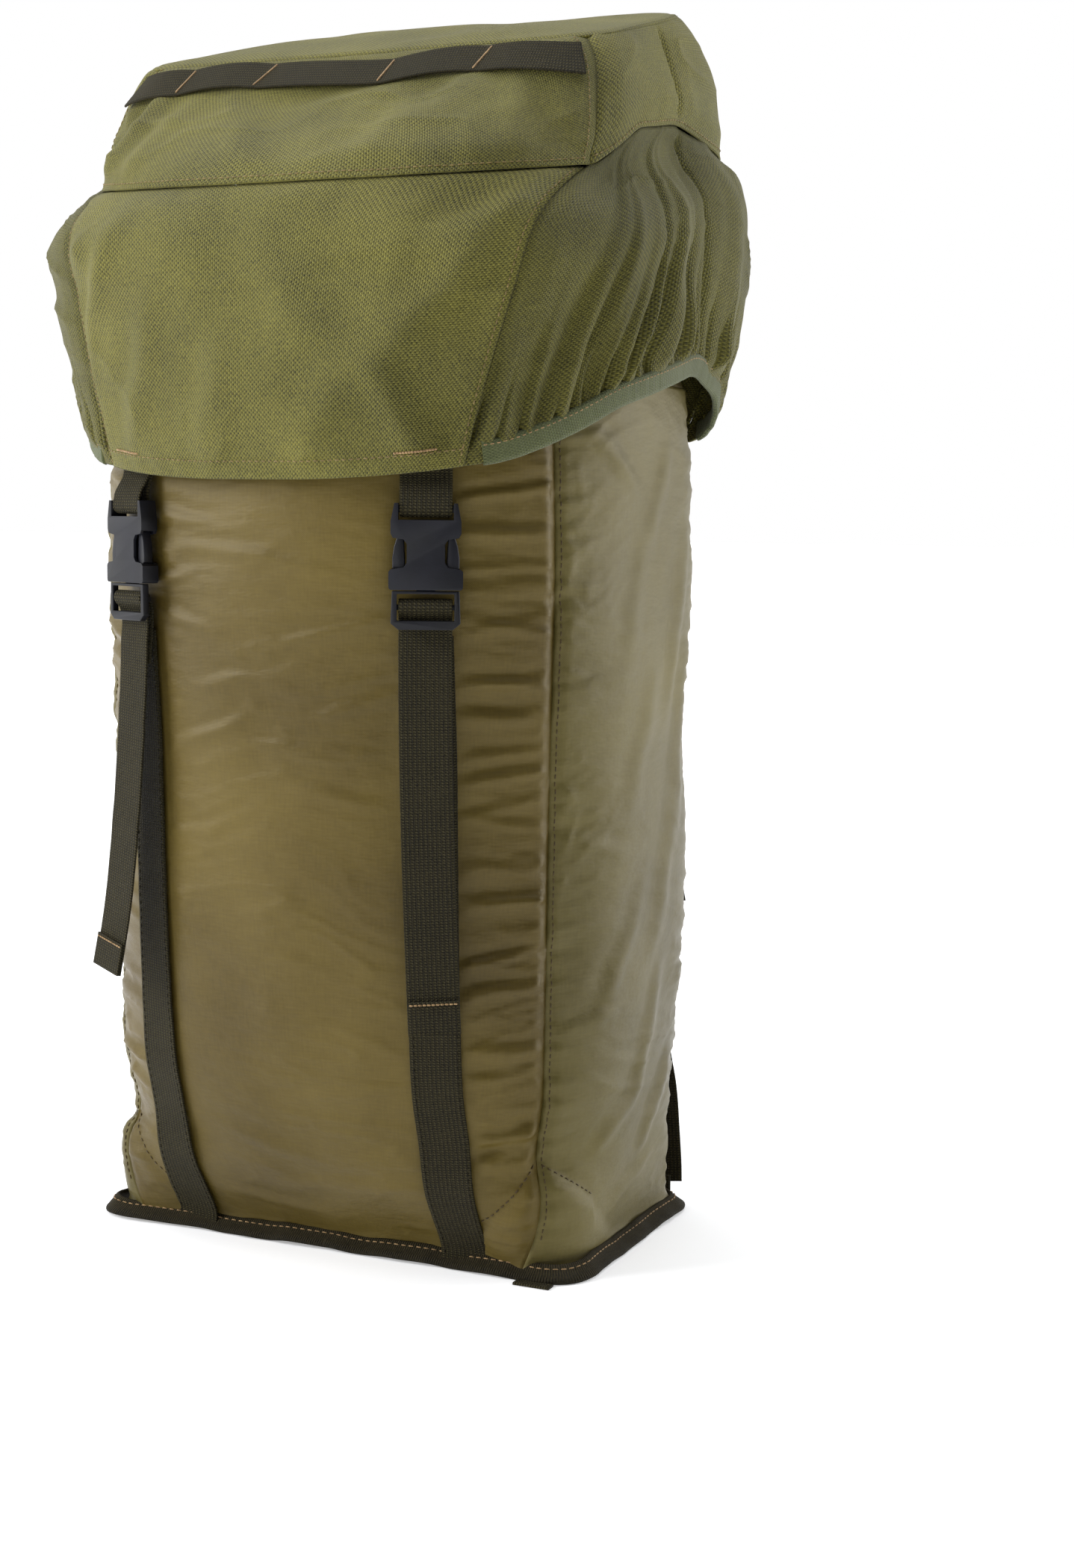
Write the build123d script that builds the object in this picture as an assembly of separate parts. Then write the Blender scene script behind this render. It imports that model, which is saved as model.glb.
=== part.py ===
from build123d import *
import os
from math import atan2, cos, degrees, pi, sin

# A soft, frameless, lidded bag.  Millimetres.  +Z is up, the front faces -Y, and the
# bag's left, as a viewer in front sees it, is at -X.  The origin is the middle of the
# base's underside.

# ---- driving dimensions -------------------------------------------------------------
FABRIC = 1.8                    # coated fabric with its seam allowances
THIN_FABRIC = 1.2
WEBBING_WIDTH = 25.0
WEBBING = 1.3                   # thickness of the webbing
STAND_OFF = 0.95                # between webbing and the fabric it is sewn to

SEAM_X = 125.0                  # front corner seams of the body
SEAM_Y = -80.0
BACK_SEAM_X = 134.0             # back corner seams of the body
BACK_SEAM_Y = 64.0
COLLAR_TOP = 484.0
BASE_THICKNESS = 2.0
BINDING_WIDTH = 10.5
BINDING_HEIGHT = 3.0

STRAP_X = 78.0                  # the two front straps, left and right of the middle
BUCKLE_BOTTOM = 321.4

# Cross-sections: height, half width, front depth, back depth, front and back squareness
BODY_RINGS = [
    (2.0, 131.0, 71.0, 71.0, 6.0, 6.0),
    (7.0, 131.3, 72.5, 71.5, 6.0, 6.0),
    (45.0, 137.0, 98.0, 76.0, 3.4, 5.5),
    (95.0, 142.0, 116.0, 79.0, 2.7, 5.0),
    (170.0, 145.0, 127.0, 80.0, 2.35, 5.0),
    (260.0, 146.0, 131.5, 80.0, 2.3, 5.0),
    (350.0, 146.0, 138.5, 80.0, 2.3, 5.0),
    (440.0, 143.0, 133.0, 77.0, 2.3, 5.0),
]
COLLAR_RINGS = [
    (440.2, 142.6, 132.6, 76.6, 2.3, 5.0),
    (462.0, 136.0, 124.0, 73.0, 2.3, 4.0),
    (484.0, 128.0, 113.0, 68.0, 2.3, 3.5),
]
# The lid's sections lie in planes that tip down towards the front: the front's y and z,
# the back's y and z, half width, sideways shift, front and back squareness
LID_RINGS = [
    (-146.5, 385.0, 87.0, 403.0, 150.5, 0.0, 2.3, 6.0),
    (-151.0, 430.0, 102.0, 448.0, 157.0, -1.0, 2.35, 6.0),
    (-147.0, 475.0, 108.0, 500.0, 165.0, -4.0, 2.4, 6.0),
    (-132.0, 528.0, 108.0, 566.0, 157.0, -4.0, 2.5, 6.0),
    (-92.0, 565.0, 103.0, 606.0, 147.0, -1.0, 3.2, 6.0),
    (-50.0, 601.0, 84.0, 638.0, 133.0, 0.0, 5.0, 5.0),
]
# The lid's lower edge seen from the side: low in front, high over the sides' elastic
LID_EDGE = [
    (-170, 388), (-146, 390), (-110, 400), (-60, 427), (17, 447), (60, 436), (84, 414), (130, 409),
]
LINING_FRONT_Z = 527.0
LINING_BACK_Z = 486.0
FLAP_HALF_LOW = 97.0            # half width of the front flap at the hem and at its top seam
FLAP_HALF_HIGH = 131.0
CORNER_X = 133.0                # corner seams of the lid's upper part
CORNER_Y = -66.0

ZIP_Z = 500.0
ZIP_HALF = 100.0
ZIP_SLOT = 5.6                  # half height of the zip's slot
SLIDER_X = 94.0                 # the slider parks at the right-hand end

FAR = 400.0                     # beyond the whole bag, for cutting tools
ABOVE = 700.0                   # higher than the whole bag


# ---- helpers ------------------------------------------------------------------------
def ring_radius(angle, half_width, depth, power):
    """Distance from the axis to a superellipse at an angle."""
    across = abs(cos(angle)) / half_width
    along = abs(sin(angle)) / depth
    return (across**power + along**power) ** (-1.0 / power)


def ring_points(half_width, front, back, front_power, back_power, count=24):
    """A closed outline: a round front half and a squarer back half, as (x, y) pairs."""
    points = []
    for index in range(count):
        angle = 2 * pi * index / count
        depth, power = (back, back_power) if angle <= pi else (front, front_power)
        radius = ring_radius(angle, half_width, depth, power)
        points.append((radius * cos(angle), radius * sin(angle)))
    return points


def level_wire(row, inset=0.0):
    """A horizontal cross-section, drawn in by inset."""
    height, half_width, front, back, front_power, back_power = row
    flat = ring_points(half_width - inset, front - inset, back - inset, front_power, back_power)
    return Wire([Edge.make_spline([(x, y, height) for x, y in flat], periodic=True)])


def tipped_wire(row, inset=0.0, drop=0.0):
    """A cross-section of the lid, in a plane that tips down towards the front."""
    front_y, front_z, back_y, back_z, half_width, shift, front_power, back_power = row
    slope = (back_z - front_z) / (back_y - front_y)
    flat = ring_points(half_width - inset, -front_y - inset, back_y - inset, front_power, back_power)
    points = [(x + shift, y, front_z + slope * (y - front_y) - drop) for x, y in flat]
    return Wire([Edge.make_spline(points, periodic=True)])


def ruled(wires):
    """A solid through closed outlines, straight between each and the next."""
    return Solid.make_loft(wires, ruled=True)


def prism_z(points, low, high):
    """A vertical prism over a plan outline."""
    face = make_face(Plane.XY.offset(low) * Polyline(*points, close=True))
    return extrude(face, amount=high - low, dir=(0, 0, 1))


def prism_x(points, low, high):
    """A prism along X over an outline given as (y, z) pairs."""
    face = make_face(Polyline(*[(low, y, z) for y, z in points], close=True))
    return extrude(face, amount=high - low, dir=(1, 0, 0))


def prism_y(points, low, high):
    """A prism along Y over an outline given as (x, z) pairs."""
    face = make_face(Polyline(*[(x, low, z) for x, z in points], close=True))
    return extrude(face, amount=high - low, dir=(0, 1, 0))


def wedge(first, second, apex=(0.0, 0.0)):
    """The part of the plan between two rays from the apex through two points."""
    reach = 5.0
    ends = [(apex[0] + reach * (x - apex[0]), apex[1] + reach * (y - apex[1])) for x, y in (first, second)]
    return prism_z([apex, *ends], -10, ABOVE)


def box_between(low, high):
    """A box from its lowest corner to its highest corner."""
    size = [b - a for a, b in zip(low, high)]
    middle = [(a + b) / 2 for a, b in zip(low, high)]
    return Pos(*middle) * Box(*size)


def band(stations, width, thickness):
    """A strip along a path.  Each station is a centre and the direction of its width."""
    centres = [Vector(*centre) for centre, _ in stations]
    wires = []
    for index, (_, across) in enumerate(stations):
        across = Vector(*across).normalized()
        before = centres[index] - centres[index - 1] if index else centres[1] - centres[0]
        after = centres[index + 1] - centres[index] if index + 1 < len(centres) else before
        along = (before.normalized() + after.normalized()).normalized()
        across = (across - along * along.dot(across)).normalized()
        normal = along.cross(across)
        stretch = 1.0 / max(0.4, abs(normal.dot(after.normalized().cross(across).normalized())))
        side = across * (width / 2)
        face = normal * (thickness / 2 * stretch)
        corners = [centres[index] + s * side + f * face for s, f in ((1, 1), (-1, 1), (-1, -1), (1, -1))]
        wires.append(Wire.make_polygon(corners, close=True))
    return ruled(wires)


def surface_point(solid, origin, direction):
    """Where a straight line first meets a solid, with the outward normal there."""
    hits = solid.find_intersection_points(Axis(origin, direction))
    start = Vector(*origin)
    point, normal = min(hits, key=lambda hit: (hit[0] - start).length)
    if normal.dot(Vector(*direction)) > 0:
        normal = -normal
    return point, normal


def largest(shape):
    """The biggest solid of a result, without slivers that a cut leaves behind."""
    return max(shape.solids(), key=lambda solid: solid.volume)


nodes = {}


# ---- body of the bag ----------------------------------------------------------------
def make_body():
    """The four upright panels, cut from one shell at its corner seams."""
    outer = ruled([level_wire(row) for row in BODY_RINGS])
    shell = outer - ruled([level_wire(row, FABRIC) for row in BODY_RINGS])
    front_left, front_right = (-SEAM_X, SEAM_Y), (SEAM_X, SEAM_Y)
    back_left, back_right = (-BACK_SEAM_X, BACK_SEAM_Y), (BACK_SEAM_X, BACK_SEAM_Y)
    nodes["front_panel"] = largest(shell & wedge(front_left, front_right))
    nodes["right_side_panel"] = largest(shell & wedge(front_right, back_right))
    nodes["back_panel"] = largest(shell & wedge(back_right, back_left))
    nodes["left_side_panel"] = largest(shell & wedge(back_left, front_left))
    return outer


def make_base():
    """The base cloth and the binding that stands out all round it."""
    _, half_width, front, back, *_ = BODY_RINGS[0]
    corner = 16.0
    plan = RectangleRounded(2 * half_width, front + back, corner)
    nodes["base_panel"] = extrude(plan, BASE_THICKNESS)
    rim = RectangleRounded(
        2 * (half_width + BINDING_WIDTH), front + back + 2 * BINDING_WIDTH, corner + BINDING_WIDTH
    )
    clear = 2.2
    inside = RectangleRounded(2 * (half_width + clear), front + back + 2 * clear, corner + clear)
    nodes["base_binding"] = extrude(rim - inside, BINDING_HEIGHT)


def make_collar():
    """The thin sleeve above the body that gathers the mouth, with two eyelets."""
    outer = ruled([level_wire(row) for row in COLLAR_RINGS])
    nodes["collar"] = outer - ruled([level_wire(row, THIN_FABRIC) for row in COLLAR_RINGS])
    outer_radius, hole_radius, thickness, spread, below_top = 5.5, 2.6, 1.0, 11.0, 9.0
    rings = []
    for x in (-spread, spread):
        point, normal = surface_point(outer, (x, -FAR, COLLAR_TOP - below_top), (0, 1, 0))
        plane = Plane(origin=point + normal * 0.5, z_dir=normal)
        rings.append(extrude(plane * (Circle(outer_radius) - Circle(hole_radius)), thickness))
    nodes["collar_eyelets"] = Compound(children=[ring.solid() for ring in rings])


# ---- front straps and buckles -------------------------------------------------------
def strap_frame(body, side):
    """The frame of a buckle: X across the webbing, -Y out of the bag, Z up from 0."""
    point, normal = surface_point(body, (side * STRAP_X, -FAR, BUCKLE_BOTTOM + 25), (0, 1, 0))
    yaw = degrees(atan2(normal.X, -normal.Y))
    return Location((point.X, point.Y, 0), (0, 0, yaw))


# Depths out from the fabric, at a buckle
UNDER_STRAP = STAND_OFF + WEBBING / 2
LOOP_BACK = UNDER_STRAP + WEBBING + 0.4
TAIL = LOOP_BACK + WEBBING + 0.45
MALE_BACK, MALE_FRONT = TAIL + 1.05, TAIL + 4.4
FEMALE_BACK, FEMALE_FRONT = 1.6, MALE_FRONT + 0.9


def make_front_strap(body, side):
    """The webbing sewn up the front, from the base to behind the buckle."""
    heights = [4.0, 7.5, 26.0, 45.0, 70.0, 95.0, 130.0, 170.0, 215.0, 260.0, 300.0, 318.0]
    stations = []
    for height in heights:
        point, normal = surface_point(body, (side * STRAP_X, -FAR, height), (0, 1, 0))
        centre = point + normal * UNDER_STRAP
        flat = Vector(normal.X, normal.Y, 0).normalized()
        across = (-flat.Y, flat.X, 0)
        stations.append((tuple(centre), across))
    return band(stations, WEBBING_WIDTH, WEBBING)


# The webbing's way round the male's middle bar, as depth and height above the male's end
LOOP_PATH = [
    (LOOP_BACK, -21.0), (LOOP_BACK, 10.6), (LOOP_BACK + 0.9, 12.9), (LOOP_BACK + 2.9, 14.0),
    (LOOP_BACK + 4.9, 13.2), (LOOP_BACK + 5.6, 11.2), (LOOP_BACK + 5.0, 8.9), (TAIL + 0.9, 6.3), (TAIL, 4.0),
]
# Free tails below the buckle: sideways, depth and height, the right one first
TAIL_PATHS = {
    1: [(0.0, TAIL, -12.0), (0.6, TAIL, -60.0), (2.0, TAIL + 0.6, -110.0), (4.0, TAIL + 0.4, -160.0),
        (5.5, TAIL + 1.5, -191.0)],
    -1: [(0.0, TAIL, -12.0), (-2.5, TAIL + 0.8, -55.0), (-6.5, TAIL + 2.5, -105.0), (-12.0, TAIL + 5.0, -150.0),
         (-15.5, TAIL + 8.0, -176.0)],
}


def make_tail(place, side):
    """The webbing's loop over the male's bar and its free tail, with a folded end."""
    points = [(0.0, depth, height) for depth, height in LOOP_PATH] + TAIL_PATHS[side]
    stations = [((x, -depth, BUCKLE_BOTTOM + height), (1, 0, 0)) for x, depth, height in points]
    strip = band(stations, WEBBING_WIDTH, WEBBING)
    x, depth, height = points[-1]
    lift = WEBBING + 0.02
    fold_x, fold_depth, _ = points[-2]
    run = 18.0 / (points[-2][2] - height)
    top = ((x + run * (fold_x - x)), depth + run * (fold_depth - depth), height + 18.0)
    folded = [
        ((x, -depth - lift, BUCKLE_BOTTOM + height), (1, 0, 0)),
        ((top[0], -top[1] - lift, BUCKLE_BOTTOM + top[2]), (1, 0, 0)),
    ]
    hem = band(folded, WEBBING_WIDTH, WEBBING)
    joined = strip + hem + box_between(
        (x - WEBBING_WIDTH / 2, -depth - lift - WEBBING / 2, BUCKLE_BOTTOM + height - 0.8),
        (x + WEBBING_WIDTH / 2, -depth + WEBBING / 2, BUCKLE_BOTTOM + height + 0.4),
    )
    return place * largest(joined)


# Side-release buckle, for 25 mm webbing: half widths and heights above the male's end
FEMALE_MOUTH, FEMALE_TOP = 18.4, 58.3
COLLAR_HALF, COLLAR_HIGH = 17.2, 26.8
WINDOW_LOW, WINDOW_HIGH, WAIST_HALF = 28.0, 42.4, 8.8
SHOULDER_HALF, EAR_HALF, EAR_WIDTH = 16.3, 14.6, 3.4
CAVITY_HALF, CAVITY_TOP = 15.9, 46.0
CAVITY_BACK, CAVITY_FRONT = FEMALE_BACK + 1.5, FEMALE_FRONT - 1.5
SLOT_LOW, BAR_LOW, BAR_HIGH = 50.6, 54.0, 57.4


def make_female(place):
    """The housing: a flat tube with two side windows and a bar for the lid's webbing."""
    half = [
        (COLLAR_HALF, FEMALE_MOUTH), (COLLAR_HALF, COLLAR_HIGH), (COLLAR_HALF - 1.2, WINDOW_LOW),
        (WAIST_HALF + 1.5, WINDOW_LOW + 0.8), (WAIST_HALF, WINDOW_LOW + 3), (WAIST_HALF, WINDOW_HIGH - 3),
        (WAIST_HALF + 1.5, WINDOW_HIGH - 0.8), (SHOULDER_HALF - 1.0, WINDOW_HIGH), (SHOULDER_HALF, WINDOW_HIGH + 2),
        (SHOULDER_HALF, SLOT_LOW - 1.0), (EAR_HALF, FEMALE_TOP),
    ]
    outline = half + [(-x, z) for x, z in reversed(half)]
    housing = prism_y([(x, z + BUCKLE_BOTTOM) for x, z in outline], -FEMALE_FRONT, -FEMALE_BACK)
    housing = fillet(housing.edges().filter_by(Axis.Y).group_by(Axis.Z)[0], 1.5)
    z = BUCKLE_BOTTOM
    housing -= box_between((-CAVITY_HALF, -CAVITY_FRONT, z), (CAVITY_HALF, -CAVITY_BACK, z + CAVITY_TOP))
    inner = EAR_HALF - EAR_WIDTH + 1.6
    housing -= box_between((-inner, -FAR, z + SLOT_LOW), (inner, FAR, z + FEMALE_TOP + 1))
    middle = (FEMALE_BACK + FEMALE_FRONT) / 2
    bar = box_between((-inner - 0.5, -middle - 1.4, z + BAR_LOW), (inner + 0.5, -middle + 1.4, z + BAR_HIGH))
    return place * largest(housing + bar)


MALE_HALF, MALE_OPEN_HALF = 15.6, 13.3
END_BAR, OPEN_HIGH = 4.2, 16.6
MIDDLE_BAR_LOW, MIDDLE_BAR_HIGH = 9.2, 11.6
PIVOT_X, PIVOT_Z = 11.6, 20.0


def make_male(place):
    """The adjustable half: a frame with a middle bar, and the tongue between the arms."""
    z = BUCKLE_BOTTOM
    bevel = 3.0
    outline = [
        (MALE_HALF - bevel, z), (MALE_HALF + 0.6, z + bevel), (MALE_HALF, z + FEMALE_MOUTH - 0.4),
        (-MALE_HALF, z + FEMALE_MOUTH - 0.4), (-MALE_HALF - 0.6, z + bevel), (-MALE_HALF + bevel, z),
    ]
    frame = prism_y(outline, -MALE_FRONT, -MALE_BACK)
    frame -= box_between((-MALE_OPEN_HALF, -FAR, z + END_BAR), (MALE_OPEN_HALF, FAR, z + OPEN_HIGH))
    bar_back = LOOP_BACK + 1.1
    bar_half = MALE_OPEN_HALF + 1.5
    frame += box_between(
        (-bar_half, -bar_back - 3.3, z + MIDDLE_BAR_LOW), (bar_half, -bar_back, z + MIDDLE_BAR_HIGH)
    )
    tongue_half, tongue_top = 4.2, 44.0
    middle = (CAVITY_BACK + CAVITY_FRONT) / 2
    frame += box_between((-tongue_half, -middle - 1.3, z + OPEN_HIGH), (tongue_half, -middle + 1.3, z + tongue_top))
    rail = box_between((-1.4, -middle - 2.2, z + OPEN_HIGH), (1.4, -middle + 2.2, z + tongue_top - 4))
    return place * largest(frame + rail)


def make_arm(place, hand):
    """One springy arm, with the pad that fills the housing's side window."""
    z = BUCKLE_BOTTOM
    inner, outer = 9.6, 15.5
    outline = [
        (PIVOT_X - 1.5, FEMALE_MOUTH + 0.1), (PIVOT_X + 2.0, FEMALE_MOUTH + 0.1),
        (PIVOT_X + 1.4, WINDOW_LOW - 1.5), (outer, WINDOW_LOW + 0.5), (outer, WINDOW_LOW + 5),
        (outer - 0.8, WINDOW_HIGH - 4), (outer - 2.4, WINDOW_HIGH + 1.2), (inner + 0.6, WINDOW_HIGH + 1.2),
        (inner, WINDOW_LOW + 2.0), (PIVOT_X - 1.5, WINDOW_LOW - 2.0),
    ]
    points = [(hand * x, z + height) for x, height in outline]
    arm = prism_y(points, -CAVITY_FRONT + 0.4, -CAVITY_BACK - 0.4)
    return place * arm.solid()


def make_buckle_tab(place):
    """The lid's webbing, looped round the female's bar and sewn behind the flap's hem."""
    middle = (FEMALE_BACK + FEMALE_FRONT) / 2
    gap = 1.4 + 0.35 + WEBBING / 2
    back, front = middle - gap, middle + gap
    hem_depth = 1.3
    path = [
        (hem_depth, 82.0), (hem_depth, 72.0), (back, 61.5), (back, BAR_LOW - 0.2), (back + 1.2, BAR_LOW - 1.3),
        (front - 1.2, BAR_LOW - 1.3), (front, BAR_LOW - 0.2), (front, 60.5), (hem_depth + WEBBING + 0.5, 71.2),
    ]
    stations = [((0, -depth, BUCKLE_BOTTOM + height), (1, 0, 0)) for depth, height in path]
    return place * band(stations, WEBBING_WIDTH - 0.6, WEBBING)


def make_straps_and_buckles(body):
    """Both front straps with everything on them."""
    for name, side in (("left", -1), ("right", 1)):
        place = strap_frame(body, side)
        nodes[f"{name}_front_strap"] = make_front_strap(body, side)
        nodes[f"{name}_strap_tail"] = make_tail(place, side)
        nodes[f"{name}_buckle_female"] = make_female(place)
        nodes[f"{name}_buckle_male"] = make_male(place)
        nodes[f"{name}_buckle_outer_arm"] = make_arm(place, side)
        nodes[f"{name}_buckle_inner_arm"] = make_arm(place, -side)
        nodes[f"{name}_buckle_tab"] = make_buckle_tab(place)
        for hand, arm in ((side, "outer"), (-side, "inner")):
            pivot = place * Pos(hand * PIVOT_X, -(CAVITY_BACK + CAVITY_FRONT) / 2, BUCKLE_BOTTOM + PIVOT_Z)
            axis = place * Pos(0, -1, 0)
            out = axis.position - place.position
            print(name, arm, "pivot", tuple(round(v, 3) for v in pivot.position),
                  "axis", tuple(round(v, 5) for v in out))


# ---- lid ----------------------------------------------------------------------------
def plane_below(front, back):
    """Everything below a plane that is level across the bag, through two (y, z) points."""
    slope = (back[1] - front[1]) / (back[0] - front[0])
    left_z = front[1] + slope * (-FAR - front[0])
    right_z = front[1] + slope * (FAR - front[0])
    return prism_x([(-FAR, left_z), (FAR, right_z), (FAR, -FAR), (-FAR, -FAR)], -FAR, FAR)


def ring_plane(index, drop=0.0):
    """Everything below one of the lid's section planes."""
    front_y, front_z, back_y, back_z, *_ = LID_RINGS[index]
    return plane_below((front_y, front_z - drop), (back_y, back_z - drop))


def make_lid():
    """The lid's panels, cut from one shell at their seams, and the floor of its pocket."""
    outer = ruled([tipped_wire(row) for row in LID_RINGS])
    inner_wires = [tipped_wire(row, FABRIC) for row in LID_RINGS[:-1]]
    inner_wires.append(tipped_wire(LID_RINGS[-1], FABRIC, FABRIC))
    inner = ruled(inner_wires)
    edge = Edge.make_spline([(-FAR, y, z) for y, z in LID_EDGE])
    (front_y, front_z), (back_y, back_z) = LID_EDGE[0], LID_EDGE[-1]
    rest = Polyline((-FAR, back_y, back_z), (-FAR, back_y, 300), (-FAR, front_y, 300), (-FAR, front_y, front_z))
    below_edge = make_face([edge, *rest.edges()])
    shell = outer - inner - extrude(below_edge, amount=2 * FAR, dir=(1, 0, 0))
    slot = box_between((-ZIP_HALF - 4, 60, ZIP_Z - ZIP_SLOT), (ZIP_HALF + 4, FAR, ZIP_Z + ZIP_SLOT))
    shell -= slot

    below_top = ring_plane(5, FABRIC)
    below_seam = ring_plane(3)
    nodes["lid_top_panel"] = largest(shell - below_top)
    pocket = (shell & below_top) - below_seam
    skirt = shell & below_seam
    left, right = (-CORNER_X, CORNER_Y), (CORNER_X, CORNER_Y)
    back_left, back_right = (-132.0, 90.0), (132.0, 90.0)
    nodes["lid_front_upper_panel"] = largest(pocket & wedge(left, right))
    nodes["lid_right_upper_side"] = largest(pocket & wedge(right, back_right))
    nodes["lid_left_upper_side"] = largest(pocket & wedge(back_left, left))
    rear_wedge = wedge(back_right, back_left)
    nodes["lid_rear_upper_panel"] = largest((pocket & rear_wedge) + ((skirt & rear_wedge) - below_zip()))

    slope = (FLAP_HALF_HIGH - FLAP_HALF_LOW) / (527.0 - 400.0)
    low, high = FLAP_HALF_LOW - 40 * slope, FLAP_HALF_HIGH + 60 * slope
    flap_tool = prism_y([(-low, 360), (low, 360), (high, 587), (-high, 587)], -FAR, -50)
    nodes["lid_front_flap"] = largest(skirt & flap_tool)
    rest = skirt - flap_tool
    nodes["lid_rear_lower_panel"] = largest(rest & rear_wedge & below_zip())
    sides = rest - rear_wedge
    nodes["lid_right_gusset"] = largest(sides & box_between((0, -FAR, 0), (FAR, FAR, ABOVE)))
    nodes["lid_left_gusset"] = largest(sides & box_between((-FAR, -FAR, 0), (0, FAR, ABOVE)))

    floor_back, floor_front = 108.0, -132.0
    below_floor = plane_below((floor_front, LINING_FRONT_Z), (floor_back, LINING_BACK_Z))
    above = plane_below((floor_front, LINING_FRONT_Z + THIN_FABRIC), (floor_back, LINING_BACK_Z + THIN_FABRIC))
    snug = ruled([tipped_wire(row, FABRIC + 0.3) for row in LID_RINGS])
    nodes["lid_lining"] = largest((snug & above) - below_floor)
    return outer


def below_zip():
    """Everything below the middle of the zip."""
    return box_between((-FAR, -FAR, 0), (FAR, FAR, ZIP_Z))


def make_daisy_chain(lid):
    """The webbing sewn along the top front edge of the lid."""
    stations = []
    front_y, front_z = LID_RINGS[4][:2]
    top_y, top_z = LID_RINGS[5][:2]
    up = (0, top_y - front_y, top_z - front_z)
    for x in (-118, -108, -95, -60, -20, 20, 60, 95, 108, 118):
        point, normal = surface_point(lid, (x, -FAR, 586.0), (0, 1, 0))
        centre = point + normal * (STAND_OFF + 1.6)
        stations.append((tuple(centre), up))
    return band(stations, 22.0, WEBBING)


def edge_height(y):
    """Height of the lid's lower edge at a depth, by straight runs between its points."""
    for (low_y, low_z), (high_y, high_z) in zip(LID_EDGE, LID_EDGE[1:]):
        if low_y <= y <= high_y:
            return low_z + (high_z - low_z) * (y - low_y) / (high_y - low_y)
    return LID_EDGE[-1][1]


def make_edge_binding(lid, side):
    """The elastic binding along the lid's gathered side edge."""
    stations = []
    for y in (-104, -92, -76, -56, -32, -6, 20, 42, 58, 70, 78):
        height = edge_height(y) + 5.5
        point, normal = surface_point(lid, (side * FAR, y, height), (-side, 0, 0))
        centre = point + normal * 2.6
        stations.append((tuple(centre), (0, 0, 1)))
    return band(stations, 10.0, 1.6)


# ---- zip ----------------------------------------------------------------------------
def make_zip(lid):
    """The lid pocket's zip: tape, coil, slider and pull."""
    point, _ = surface_point(lid, (0, FAR, ZIP_Z), (0, -1, 0))
    wall = point.Y
    tape_y = wall - FABRIC - 2.2
    nodes["zip_tape"] = box_between((-ZIP_HALF - 3, tape_y - 0.8, ZIP_Z - 11), (ZIP_HALF + 3, tape_y, ZIP_Z + 11))
    coil_half, coil_depth = 1.7, 1.8
    nodes["zip_coil"] = box_between(
        (-ZIP_HALF, tape_y + 0.02, ZIP_Z - coil_half), (ZIP_HALF, tape_y + coil_depth, ZIP_Z + coil_half)
    )
    gap = 0.35
    half_length, half_height = 5.5, 4.2
    top = tape_y + coil_depth + gap
    plate = box_between(
        (SLIDER_X - half_length, top, ZIP_Z - half_height),
        (SLIDER_X + half_length, top + 1.2, ZIP_Z + half_height),
    )
    plate = fillet(plate.edges().filter_by(Axis.Y), 1.4)
    for sign in (-1, 1):
        inner = sign * (coil_half + gap)
        outer = sign * half_height
        low, high = sorted((ZIP_Z + inner, ZIP_Z + outer))
        plate += box_between((SLIDER_X - 4, tape_y + gap, low), (SLIDER_X + 4, top + 0.1, high))
    pin_y = top + 3.4
    pin_x = SLIDER_X + 1.0
    for sign in (-1, 1):
        low, high = sorted((ZIP_Z + sign * 2.3, ZIP_Z + sign * 3.5))
        plate += box_between((pin_x - 1.2, top + 1.0, low), (pin_x + 1.2, pin_y + 1.2, high))
    pin_radius = 0.8
    pin = Pos(pin_x, pin_y, ZIP_Z) * Cylinder(pin_radius, 6.0)
    nodes["zip_slider"] = largest(plate + pin)

    eye, reach, droop = 2.1, 50.0, 12.0
    thickness = 1.4
    ring = Pos(pin_x, pin_y, ZIP_Z) * (Cylinder(eye, 3.4) - Cylinder(pin_radius + 0.1, 4))
    leaf = [
        (pin_x + 1.2, ZIP_Z - 1.5), (pin_x + 1.2, ZIP_Z + 1.5), (pin_x + 9, ZIP_Z + 1.2),
        (pin_x + reach - 16, ZIP_Z - droop + 5.5), (pin_x + reach, ZIP_Z - droop + 2),
        (pin_x + reach - 2, ZIP_Z - droop - 9), (pin_x + reach - 17, ZIP_Z - droop - 4), (pin_x + 9, ZIP_Z - 2.2),
    ]
    tab = prism_y(leaf, pin_y - thickness / 2, pin_y + thickness / 2)
    nodes["zip_pull"] = largest((ring + tab) - Pos(pin_x, pin_y, ZIP_Z) * Cylinder(pin_radius + 0.1, 8))
    print("zip pin", round(pin_x, 3), round(pin_y, 3), ZIP_Z, "wall", round(wall, 3))


# ---- back of the bag ----------------------------------------------------------------
# Shoulder straps: centre of each station and the direction of its width
RIGHT_STRAP = [
    ((54, 87.0, 394), (1, 0, 0)), ((56, 89.0, 382), (1, 0, 0)), ((63, 95, 355), (1, 0, 0)),
    ((73, 104, 315), (1, 0, 0)), ((84, 108, 275), (1, 0, 0)), ((93, 108, 240), (1, 0, 0)),
]
LEFT_STRAP = [
    ((-54, 87.0, 394), (1, 0, 0)), ((-58, 89.5, 382), (1, 0, 0)), ((-76, 99, 352), (1, 0, 0)),
    ((-104, 108, 318), (1, 0.25, 0)), ((-135, 106, 288), (0.75, 0.75, 0)), ((-159, 82, 262), (0.35, 1, 0)),
    ((-168, 52, 240), (0.05, 1, 0)),
]
STRAP_WIDTH, STRAP_THICK = 54.0, 9.0
LOCK_WIDTH, LOCK_HEIGHT, LOCK_THICK = 34.0, 24.0, 4.0
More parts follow.
